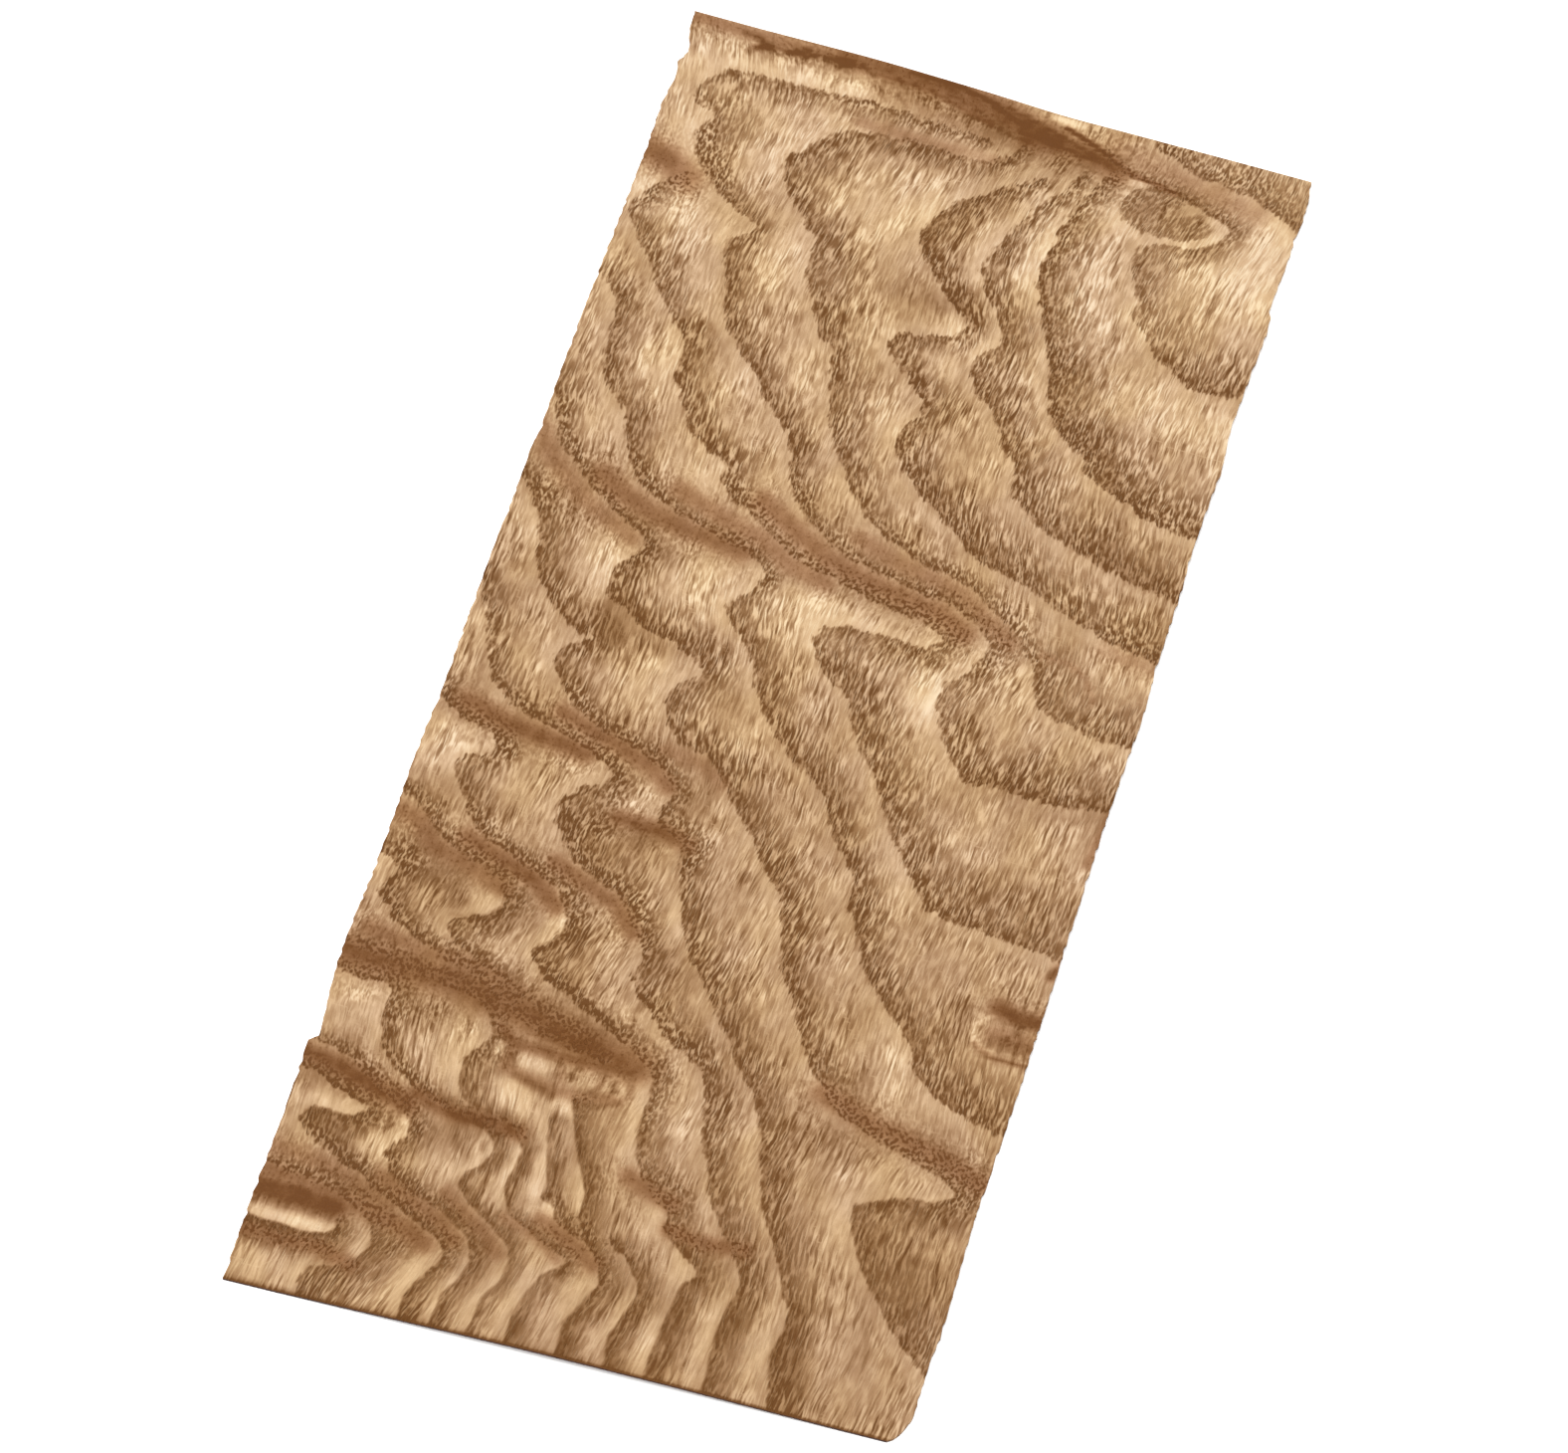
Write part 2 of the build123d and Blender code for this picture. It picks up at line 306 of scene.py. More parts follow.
# %% Rings round the small knots of the lower left, to the foot
knot_rings = [
    (0.9, [(-69, -77.3, 2.4), (-62, -77.8), (-57, -78.9), (-52, -80.2), (-44, -80.8), (-38, -82.4),
        (-35, -85), (-33.3, -88, 4), (-34.7, -92.7, 8), (-37.2, -95.5), (-36.7, -99.5), (-35, -103, 4),
        (-31, -105, 2.2), (-26, -105.8), (-22.5, -107.5), (-20.6, -111, 3.5), (-21, -117), (-21.4, -120),
        (-19, -124, 2.5), (-14, -126.5), (-9, -128.8), (-5.8, -130, 3.5), (-6, -132.5), (-9.8, -136, 4.5),
        (-11, -140), (-11.8, -144.5), (-11.5, -150)]),
    (1.0, [(-69, -83.3, 2.2), (-62, -84), (-57, -83.2), (-55, -85, 5), (-54.6, -92), (-53, -97.5),
        (-49.5, -101), (-44.5, -103.7, 3), (-40, -105.5, 2.2), (-34, -107), (-29, -108.3),
        (-26, -110.5, 3), (-25.3, -113, 3.5), (-26.5, -116), (-29.6, -118.9), (-30, -121.3),
        (-26, -124.5, 2.5), (-22, -127), (-18.5, -129.3), (-16.5, -131, 3), (-15.8, -134), (-16, -138.5),
        (-18.3, -142.5), (-18.9, -151)]),
    (0.95, [(-66, -99.5, 2.5), (-61, -100.5), (-56, -102.6), (-51, -105.8), (-46, -108.3),
        (-43.5, -110, 3), (-42.7, -112.5, 6), (-43.3, -115.5), (-45.2, -119), (-43.5, -122.3),
        (-38, -125, 3), (-33, -126), (-28.5, -128.3), (-25, -131, 3), (-22.9, -136, 4.5), (-23.5, -140),
        (-26, -144), (-26, -151)]),
    (1.1, [(-69, -105, 2.4), (-64, -105.7), (-60, -107.8), (-54, -109.6), (-51, -110.5, 3),
        (-51.5, -111.8, 6), (-53, -113.6), (-57, -114.4), (-61.5, -114), (-63.2, -116.5), (-60, -119),
        (-55.5, -121), (-49, -124, 3), (-44, -126.5, 2.4), (-40, -128), (-36, -130), (-31.5, -132, 3),
        (-28.2, -135, 4.5), (-28.2, -137.5), (-29.5, -139.5), (-31.6, -143.5), (-32.4, -147),
        (-32, -152)]),
    (0.85, [(-17.5, -103, 4), (-16.5, -108), (-14.8, -113), (-13.4, -117), (-14, -119.2), (-11.2, -120),
        (-10.4, -122.5, 3), (-7, -124.6), (-3, -125.6), (-1, -127)]),
    (1.05, [(-14.5, -97.5, 5), (-13, -102), (-11, -106.8, 6), (-8.5, -111.5), (-6.3, -116.5), (-6, -121),
        (-3.5, -125.5, 4), (0, -129), (2.2, -133.3, 6), (0, -138.5), (-2.2, -143), (-1.6, -150)]),
    (1.1, [(1, -124, 3), (5.5, -127), (8.7, -131, 5.5), (9.5, -134), (8, -138.5), (6.7, -143.5),
        (8, -150)]),
    (0.95, [(-66, -126.5, 2.4), (-60, -127.6), (-54, -128.2), (-47, -130.8), (-42.8, -133.5, 6),
        (-42, -138, 9), (-44, -142), (-47.5, -144.6), (-52, -146), (-52.6, -149), (-52, -154)]),
    (1.15, [(-49.6, -134.8, 3), (-49.2, -136.8), (-51, -138.6, 6), (-56, -139.4), (-70, -138.9)]),
]
print(len(knot_rings), "rings")

# %% All the rings
rings = upper_right_rings + middle_rings + lower_rings + knot_rings
print(len(rings), "ring lines with", sum(len(line) for _, line in rings), "points")

# %% [markdown]
# ## Bands where the knife cut down through the rings
#
# Where the log's surface rippled, the knife cut straight down through many rings at once. There
# the vessels show end-on, as round dots, and the wood between them looks smooth and brown. That
# brown is partly the wood's own and partly painted shade of the cockle hollows that run along the
# bands. The bands could follow from a model of the whole rippled log, but the photo only gives one
# cut through it, so each is drawn: its half-width, how deep its brown and painted shade go, and
# then its line's points, across and along in turn.

# %% Steep bands
steep_bands = [
    # along the top cut
    (3.4, 1.25, -34, 151, -14, 149.8, -2, 147.8, 8, 145, 14, 143.6),
    (3.0, 1.0, 8, 142.5, 16, 143.5, 22, 142.5, 28, 139.8),
    (0.6, 1.4, 15, 147.6, 22, 145, 27, 142.8, 31, 140.3, 36, 139.6, 41, 138.3),
    (0.6, 1.6, -12, 150.8, -3, 148.8, 3, 146.3, 7, 145.2),
    (0.9, 1.1, -26, 148, -14, 147.3, -6, 145, 0, 143.4),
    (0.9, 0.9, -53, 147.4, -48, 148.6, -43, 148.2, -38, 149.6, -32, 148.4, -27, 149.4),
    (3.2, 0.42, 26, 146, 34, 143.5, 48, 140.5, 58, 138.5), (3.6, 1.0, -70, 117.5, -62, 115.5, -57, 112),
    (3.2, 0.15, -24, 144.5, -12, 142.5, 0, 139.8), (1.6, 0.5, -26, 135, -14, 134.8, 2, 134.8),
    (1.9, 0.85, -68, 151.5, -55, 150.5, -44, 150, -30, 150.6),
    # across the middle, between the rows of vessels
    (2.4, 0.6, -69, 47, -64, 40, -58, 35, -53, 31, -47, 28, -42, 25.5),
    (2.6, 0.85, -52, 38, -46, 34.5, -40, 32.5, -30, 30.5, -20, 28.8),
    (2.3, 0.75, -36, 39, -25, 35, -17, 33, -10, 29, -2, 27),
    (2.5, 0.95, -19, 41, -10, 36, -2, 32, 6, 30, 14, 28.3, 22, 27, 28, 24),
    (2.2, 0.65, 2, 38.5, 10, 35.5, 18, 34, 24, 32.5, 30, 29, 37, 24.5), (2.0, 0.4, 56, 28, 69, 26.5),
    # middle left
    (2.4, 0.95, -62, -20, -52, -22.5, -44, -23.3, -36, -24.5),
    (1.9, 0.9, -43, -17, -34, -20, -28, -21.8, -22, -23.9, -18, -27),
    (1.8, 0.5, -21, -19.5, -13, -20.5, -8, -23.5), (1.9, 0.85, -25, -36.6, -16, -37, -10.5, -38.6),
    (2.3, 0.75, -69, -47, -62, -48.5, -58, -53, -50, -55, -42, -58),
    (2.1, 0.95, -52, -49.5, -44, -52, -36, -54.8, -31, -59),
    (1.9, 0.85, -34, -49.8, -27, -52.5, -20, -55, -15, -60),
    # the strongest one, and those below it
    (4.0, 0.95, -70, -79.8, -55, -79.8, -45, -79.8, -35, -81.5, -25, -84, -15, -86, -6, -87.5),
    (2.2, 0.7, -64, -74, -52, -76, -40, -76.3, -32, -79),
    (1.5, 0.85, -33, -86.5, -29.5, -89.5, -24, -89.3, -14, -89.6, -4, -88.8),
    (1.2, 0.6, -30, -89.5, -29.4, -94),
    (1.4, 0.6, -29.5, -95, -24, -96.4, -19.5, -97.2, -14, -97, -7, -95.6),
    (1.3, 0.35, -19.4, -90.5, -18.8, -95.5), (0.8, 0.4, -10.6, -91, -11.6, -95.4),
    (0.8, 0.35, -4.8, -90, -5.3, -94.5), (2.5, 1.05, -71, -102.5, -60, -104.3, -52, -106.5, -45, -107.9),
    (1.8, 1.0, -44, -105.6, -36, -107.6, -30, -107, -22.5, -107.8),
    (2.6, 1.2, -71, -131.6, -60, -131.8, -51, -131.8),
    (2.3, 0.85, -69, -127.8, -55, -130, -46, -130.5, -38, -132.4, -33, -134.5),
    (2.2, 0.6, -69, -123.5, -56, -124.5, -49, -126.5, -42, -129),
    (1.9, 0.7, -45, -123.8, -38, -127, -32, -129, -27.5, -132.5),
    (1.7, 0.6, -32, -123.5, -27, -127, -22, -130, -19, -133),
    (1.2, 0.55, -20, -125.5, -12, -128, -8, -131), (1.9, 0.8, -13, -124, -6, -127, -1, -130),
    (1.8, 0.95, -70, -141.4, -60, -141.4, -52, -141, -45, -143),
    # lower right
    (2.4, 0.95, 30, -82, 34, -83.3, 42, -86, 50, -87.7, 57, -89.4, 64, -92),
    (1.9, 0.85, 0, -110.5, 5, -112.4, 9.5, -113.6), (1.7, 0.95, 10.5, -118.8, 17, -119.7, 25.5, -118.6),
    (2.0, 1.05, 57.5, -55.2, 61, -56.1, 70, -56.2), (2.5, 0.6, 58.5, -60.8, 70, -61.6),
    (0.6, 0.6, 55, -63.8, 59, -65.8, 70, -65.8), (1.1, 0.8, 67, -8, 66.3, -14, 65.4, -20),
    (1.0, 0.7, 66.5, -42, 65.3, -46), (0.7, 0.5, 44, 23.6, 50, 23.2, 54, 21, 56.5, 16.5),
]
print(len(steep_bands), "steep bands")

# %% [markdown]
# ## Pale places and calm places
#
# The latewood isn't one colour. Where the knife ran level with a ring it comes out almost cream,
# and the small windows between the knots are the palest of all. In calm places the vessels hardly
# show and the ring lines are smooth. Both come and go softly, so an ellipse is enough for each: its
# centre, its half-sizes across and along, and how pale or calm it is. Places that are browner than
# the wood round them have a negative value.

# %% Paler and browner places
pale_places = [
    (-14, 119, 13, 10, 0.9), (-44, 122, 9, 13, 0.6), (61, 121, 10, 17, 0.9), (58, 87, 14, 7, 0.75),
    (18, 112, 4, 13, 0.7), (7.5, 112, 3, 8, 0.6), (-50, 102, 8, 6, 0.7), (-33, 98, 6, 8, 0.7),
    (-62, 143, 6, 6, 0.6), (-36, 144, 14, 3, 0.85), (23, 133, 2, 4, 0.6), (2, 137, 3, 4, 0.5),
    (15, 149, 3.4, 1.2, 1.2), (12, 136, 3, 3, 0.5), (48, 127, 6, 3, 0.5), (31, 130, 2.5, 10, 0.5),
    (4, 92.5, 5, 3, 0.8), (14, 93, 3, 5, 0.5), (-8, 86, 4, 6, 0.5), (24, 87, 4, 6, 0.4),
    (0, 68, 3.5, 8, 0.8), (-20, 78, 4, 5, 0.6), (-47, 69, 5, 6, 0.8), (-52, 63, 5, 6, 0.4),
    (-31, 68, 5, 5, 0.55), (-36, 52, 6, 5, 0.35), (-32, 44, 5, 4, 0.8), (-55, 50, 4, 5, 0.7),
    (-19, 66, 4, 8, 0.5), (-23, 54, 5, 5, 0.4), (7, 84, 3, 5, 0.6), (24, 61, 4, 5, 0.4),
    (-45, 19, 5, 9, 1.0), (-25, 19, 11, 9, 0.8), (-2, 18, 6, 7, 0.9), (10, 21, 12, 2.6, 0.9),
    (24, 9, 4.5, 8, 0.9), (30, 19, 2.5, 4, 0.6), (-63, 24, 3, 6, 0.4), (-30, -6, 8, 7, 0.8),
    (-51, -6, 4, 6, 0.6), (-27, -1, 8, 2, 0.6), (-12, 1, 3, 4, 0.4), (-8, -11, 4, 4, 0.6),
    (-62, -28, 7, 3.6, 0.8), (-44, -35, 10, 5, 0.6), (-36, -28, 6, 3.2, 0.7), (-21, -29, 3, 4, 0.7),
    (-7, -34, 3, 5, 0.4), (-15, -44, 4, 4, 0.5), (-8, -56, 3, 5, 0.5), (-13, -78, 5, 2.4, 0.7),
    (-16, -66, 4, 5, 0.4), (-30, -62, 1.9, 4.2, 0.9), (-36, -70, 4, 4, 0.6), (-44, -61, 4, 5, 0.3),
    (-66, -60, 2.4, 4, 0.6), (9, -50, 4, 7, 0.5), (20, -39, 3, 3, 0.6), (30, -35, 4, 6, 0.5),
    (41, -68, 5, 7, 0.5), (52, -78, 8, 3, 0.6), (17, -70, 3, 6, 0.4), (-61, -91, 6, 7, 0.8),
    (-41, -92, 6, 9, 0.8), (-26, -100, 4.5, 4, 1.0), (-3, -97, 2.6, 10, 0.5),
    (-24.2, -92.6, 3.3, 1.7, 0.4), (-13.4, -93, 2.4, 1.6, 0.2), (-31.9, -91.2, 0.8, 1.2, 1.2),
    (-16, -99.5, 2.5, 2.2, 0.7), (6, -93, 4, 8, 0.5), (-59, -111.4, 6, 2.4, 0.8), (-48, -118, 3, 3, 0.6),
    (-44.5, -113, 1.2, 3, 0.7), (-36, -118.5, 6, 3, 0.7), (-28, -113.5, 2.5, 3, 0.7),
    (-21.8, -116, 1.2, 6, 0.8), (-16, -116, 1.6, 8, 0.8), (-12.3, -121.5, 1.6, 2, 0.8),
    (-8, -116, 1.6, 5, 0.5), (-58, -136.9, 9, 1.5, 1.3), (-44.4, -137.5, 1.3, 3, 0.6),
    (-61, -147.5, 7, 4, 0.4), (-33, -141, 2.5, 8, 0.6), (-25.5, -136, 1.5, 5, 0.6),
    (-11, -132, 3, 2.5, 0.7), (-3, -134, 3, 4, 0.6), (6.8, -118.5, 2.8, 3.4, 0.9), (14, -126, 4, 3.4, 0.6),
    (12.8, -141, 1.6, 7, 0.6), (22.5, -134, 2.4, 9, 0.4), (33, -134, 3, 10, 0.4), (40, -104, 4, 8, 0.5),
    (48, -96, 10, 3, 0.5), (-19, 135.5, 9, 2, -0.5), (-60, 86, 5, 5, -0.4), (-5, 142, 8, 4, -0.5),
    (40, 33, 12, 3.5, -0.3), (-63, -14, 4, 5, -0.2), (-60, 39, 6, 4, -0.5), (50, -46, 10, 5, -0.2),
    (52, -88, 12, 5, -0.2),
]
print(len(pale_places), "paler and browner places")

# %% Calm places
calm_places = [
    (-18, -108, 24, 20, 1.0), (-14, -141, 40, 13, 0.9), (20, -138, 30, 13, 0.6), (-60, -113, 12, 4, 0.6),
    (-58, -136, 14, 4, 0.9), (61, -59, 8, 8, 0.7), (55, 122, 16, 18, 0.4), (-14, 120, 12, 10, 0.3),
    (-45, -70, 22, 12, 0.3), (56, -113, 16, 22, 0.75), (28, -108, 14, 26, 0.5), (40, 133, 10, 5, 0.5),
    (40, -75, 25, 14, 0.3),
]
print(len(calm_places), "calm places")

# %% [markdown]
# ## Marks
#
# Some things don't follow from rings and bands: slow changes of tone, the pale windows and dark
# pith of the small knots, the round eye cut by the right edge, the smooth brown stripes that run
# into the foot, and the deep brown along the top cut, partly the wood's own and partly painted
# shade where the cockled edge slopes. One more is painted shade: the dark line along the foot, for
# the shadowed cut face and the gap under it. A soft stroke can draw them all, so each mark is one:
# its half-width, how many levels lighter or darker it makes the wood, and then the points of its
# line, across and along in turn.

# %% Broad changes of tone
broad_tones = [
    (24, 9, 60, 140, 60, 60), (24, 9, 60, 20, 60, -30), (20, -6, -50, 30, -50, -20),
    (30, -5, -45, -70, -20, -150), (16, 5, -50, 140, -50, 115),
]
print(len(broad_tones), "broad changes of tone")

# %% Browner wood
browner_wood = [
    (4, -30, 3, 141, 20, 139), (3, -12, 5, 133, 16, 136), (3, -12, -26, 129, -6, 132),
    (2, -18, -52, 108, -43, 104), (4, -12, -6, 97, 8, 97), (4, -9, 50, 41, 67, 36),
    (6, -15, -51, 117, -36, 111), (4.5, -15, 0, 118, -3, 108, 2, 98), (3, -16, 46, 97, 54, 92, 67, 91),
    (6, -6, 60, 118, 60, 106), (3, -16, 62, 140, 68, 137), (2.4, -22, -50, 147.3, -32, 147.8),
    (2.4, -14, -68, 149, -62, 147), (1.5, -6, -25, 150.5, -10, 149.5), (3, -8, -28, 128, -14, 132),
    (3, -10, -34, 49, -32, 46), (3.5, -9, -60, 55, -54, 53), (2.8, -24, 2, 26, 18, 22),
    (4.5, -30, -40, 7, -33, 1), (3.5, -14, -30, 3, -24, 0), (4, -22, 40, -8, 55, -10, 68, -7),
    (4, -15, -12, -21, -11, -30), (3, -12, -34, -26, -32, -26), (5.5, -24, -26, -39, -15, -43),
    (5, -18, 45, -29, 64, -29), (2, -12, 17, -31, 24, -42, 32, -57), (4, -13, -60, -53, -50, -62),
    (4, -19, -6, -64, -2, -68), (4.5, -24, 29, -92, 38, -92), (3, -15, 45, 49, 67, 44),
    (2, -18, -67, -107, -56, -111), (2.5, -14, -45, -111, -44, -113), (2.5, -14, -33, -110, -31, -111),
    (3, -9, 43, -138, 44, -150), (3.5, -11, -50, -88, -46, -88), (3, -6, -50, 22, -32, 24),
    (4, -6, -16, -62, -15, -80), (2.5, -12, 52, -57, 52, -60), (3, -6, -45, 78, -52, 72),
    (3, -9, -20, 60, -16, 56), (3, -7, 8, -66, 13, -72), (3.5, -12, 64, -112, 65, -120),
    (3, -8, 40, -128, 43, -134), (3.4, -20, -24, 145.5, -12, 144, 0, 141.5), (3, -10, -22, 127, -17, 130),
    (3, -15, -12, -8, -8, -8), (3.5, -17, -37, -12, -32, -14), (3, -10, -20, -40, -16, -42),
    (3, -12, 50, -58, 50, -63), (3, -10, -35, -112, -31, -113), (3, -8, 64, -112, 65, -120),
    (2.5, -10, 10, -123, 14, -123), (5, -8, 60, 112, 64, 104), (3, -8, -2, 75, 1, 72),
    (5, -6, 45, 60, 60, 52), (2.2, -14, 2, 118, 3, 108), (2, -14, -14, 129, 4, 130),
    (2.5, -16, 14, 43, 24, 40), (2, -12, 32, 77, 37, 73), (3, -10, -36, 24, -28, 24),
    (3, -8, -12, -26, -11, -30), (3, -12, -47, -28, -43, -30), (2, -10, -62, -25, -58, -27),
    (3, -10, 48, 0, 56, -2), (2, -12, 64, -8, 66, -14), (3, -8, 50, -58, 51, -66),
    (3, -10, 31, -94, 34, -98), (3, -9, 38, -128, 42, -142), (2, -10, -62, -107, -54, -109),
    (2.5, -12, -68, -50, -66, -54), (2.5, -8, 58, 96, 66, 93), (4, -13, -30, 121, -17, 124),
    (4.5, -14, -24, -68, -24, -78, -14, -82), (3.5, -12, -48, -88, -39, -84), (4, -13, -60, -58, -52, -61),
    (4, -9, 58, -112, 60, -126), (1.6, -22, -68, -134, -52, -134), (4, -9, 52, 95, 57, 88),
    (5, -8, 45, 74, 51, 62), (5, -8, 55, 56, 62, 40, 66, 30), (5, -9, 38, 142, 50, 139),
    (3.5, -8, 58, 132, 60, 122), (4, -10, -68, 33, -62, 30), (4, -8, -34, -18, -20, -18),
    (4, -6, -30, 22, -20, 24), (4, -8, -10, 98, 2, 95), (3, -8, 0, 78, 2, 72),
    (2.5, -8, -42, 146, -34, 147), (4, -8, 12, -33, 4, -42), (3, -7, 4, 137, 14, 137),
    (1.4, -10, -26, -96.5, -20, -98.5),
]
print(len(browner_wood), "browner wood")

# %% Paler wood
paler_wood = [
    (4, 10, -58, 118, -55, 108), (3, 12, -68, 106, -66, 98), (4, 9, -56, 94, -46, 80),
    (4, 9, 8, 90, 18, 88), (5, 8, 14, 125, 20, 108, 28, 110), (5, 8, -50, 140, -35, 137, -28, 130),
    (3, 10, -5, 138, 0, 134), (3, 8, 24, 137, 28, 132), (4, 8, -18, 38, -8, 33), (4, 9, -68, 4, -60, -4),
    (4, 10, -64, -34, -54, -31), (4, 6, 28, 8, 32, -10), (6, 8, -36, -146, -10, -142),
    (4, 7, 4, -146, 14, -142), (4, 5, -50, 20, -44, 16), (4, 6, -18, 20, 10, 15),
    (2.5, 10, -10, -15, -6, -17), (3, 6, 42, 110, 46, 98), (3, 8, 36, 100, 40, 96),
    (3, 6, -60, -91, -56, -95), (3, 5, -14, -98, -13, -106), (3, 5, -29, -118, -25, -124),
    (4, 8, -16, -137, -14, -142), (2.5, 12, -7, 123, -4, 117), (2, 9, 11, 122, 9, 112),
    (3, 8, 44, 123, 58, 122), (2.5, 9, 23, 132, 33, 126), (2.5, 10, -23, -34, -20, -36),
    (2.5, 14, -68, -62, -66, -65), (2.5, 10, 28, -79, 30, -82), (2.5, 15, 29, 72, 31, 66),
    (1.6, 9, 8, -134, 7, -140), (2, 9, -36, -93, -35, -98), (2, 8, 0, -92, 1, -98),
    (3, 8, -58, 128, -64, 122), (4, 11, -64, 138, -60, 126), (2.5, 10, -33, 134, -27, 133),
    (5, 9, 22, 130, 27, 104), (3, 10, 10, 90, 16, 86), (5, 9, -26, -140, -12, -138),
    (3, 8, -56, -139, -46, -141), (2.5, 12, -24, -34, -20, -35), (2.5, 12, -2, 125, 0, 119),
    (3, 8, 40, 108, 42, 102), (4, 8, 24, 14, 30, 0), (5, 7, -24, -110, -16, -120),
    (3, 7, -45, 60, -40, 45), (3, 14, -58, 134, -52, 131), (3, 12, -66, 108, -62, 101),
    (3.5, 9, 22, 130, 33, 128), (2.5, 14, 67, 86, 66, 80), (4, 14, 24, 10, 36, 8),
    (3, 7, -62, 20, -46, 20), (3, 7, -52, -3, -44, -4), (4, 8, -32, -142, -18, -146),
    (3, 10, -66, -90, -55, -88), (3, 12, -40, -98, -34, -102), (3, 8, -28, 36, -36, 42),
    (2.5, 8, 30, -30, 24, -28), (3, 15, 30, 134, 26, 127), (5.5, 17, 31, 112, 31, 98),
    (3.5, 8, 14, 118, 15, 100), (2, 12, 45, 114, 45, 102), (2.5, 10, 40, 122, 52, 122),
    (4.5, 19, -68, 88, -64, 84), (3, 10, -60, 108, -59, 104), (3, 9, -48, 90, -46, 85),
    (3, 9, -26, 102, -24, 98), (3.5, 15, -12, 86, -9, 80), (3, 8, 8, 91, 12, 88), (2.5, 9, 8, 80, 9, 75),
    (2.5, 9, 32, 75, 34, 71), (4, 12, -12, 18, -7, 12), (4, 14, 3, 13, 14, 12), (5, 17, 22, 15, 36, 18),
    (3, 15, 25, 3, 27, -7), (3, 15, -68, -34, -60, -33), (3, 11, 20, -24, 26, -34),
    (3, 8, 32, -38, 34, -44), (3, 17, 41, -72, 42, -82), (3.5, 13, 18, -95, 18, -112),
    (2.5, 9, 0, -94, 1, -106), (3, 10, 33, 33, 40, 28), (2.5, 10, -17, -124, -12, -124),
    (4, 7, -6, -138, 2, -142), (4, 8, -60, -146, -42, -144), (3, 7, 65, -110, 65, -146),
    (3, 8, -68, -5, -64, -3), (5, 6, 30, -20, 40, -25),
]
print(len(paler_wood), "paler wood")

# %% Marks along the top cut and in the upper right
top_marks = [
    # deep brown along the top cut, partly the wood's own and partly painted shade where the
    # cockled edge slopes, with two dark lines in it and a pale lens beyond it
    (2.4, -8, -16, 149.8, -8, 148.8, 0, 146.8, 6, 145, 14, 143.8),
    (1.6, -12, 0, 149.6, 8, 146.8, 16, 144.8, 22, 142.8, 28, 140.3),
    (0.5, -16, -12, 150.9, -4, 149.3, 2, 147, 7, 145), (0.5, -35, 15, 147.7, 22, 145, 28, 141.8, 31, 140),
    (0.4, -25, 31, 140, 37, 139.7, 42, 138.6, 48, 136.5, 55, 133.5), (0.9, 38, 12, 149.3, 18, 148.9),
    (0.7, 22, 31.5, 138.2, 33.5, 138.6), (3.5, 14, 63, 138, 62, 128, 61, 115),
    (3.2, -12, 36, 132.5, 46, 132.5), (0.4, -24, 2, 148.6, 12, 146, 20, 143.5),
    (0.45, -24, 6, 143.2, 14, 142.8, 22, 141.3), (0.45, -22, -6, 144, 2, 142.3, 8, 141.6),
    (0.4, -22, 10, 149, 18, 146.5, 25, 143.5), (0.4, -20, -10, 147.5, -4, 145.8, 0, 144.2),
    (0.4, -22, 16, 139.8, 22, 139, 27, 137.5), (0.4, -22, -20, 150.6, -8, 150, 0, 148.6),
    (0.5, -20, 24, 145.5, 30, 143), (1.0, -20, 22, 142.9, 27, 140.6),
    # streaks of brown above the first ring of the top left
    (0.6, -42, -52, 149, -48, 147), (0.6, -40, -42, 147.2, -40, 149), (0.6, -40, -35, 147, -32, 148.6),
    (0.7, -34, -56, 150.4, -52, 149.6), (0.45, -30, -30, 145.8, -27, 144),
    (0.45, -30, -22, 148.5, -19, 145.5), (0.45, -28, -18, 148, -15.5, 144.5),
    (0.45, -28, -14, 147.5, -11.5, 143.5), (0.4, -26, -10, 146, -8, 142),
    (0.45, -26, -21, 144.5, -18, 141.5), (0.4, -24, -6, 143.5, -4, 140.5),
    (0.4, -24, -45, 144.6, -43, 142), (0.8, -42, -54, 146, -50, 148.5), (0.9, -46, -46, 147.5, -42, 149.5),
    (0.8, -44, -38, 148.5, -33, 149.2), (0.5, -36, -35, 142, -33, 145), (0.6, -36, -30, 149, -27, 147.3),
    (0.5, -30, -28, 146, -25, 144.5, -23, 142), (1.6, 24, -64.5, 110, -65.5, 107),
    (2.0, -14, -67, 117.2, -62, 115.6),
    # resin spot in the dark wood of the upper right
    (0.7, 45, 43, 72.4, 43.8, 73), (2.2, -10, 37, 76, 42, 71, 47, 67.5),
]
print(len(top_marks), "marks along the top cut and in the upper right")

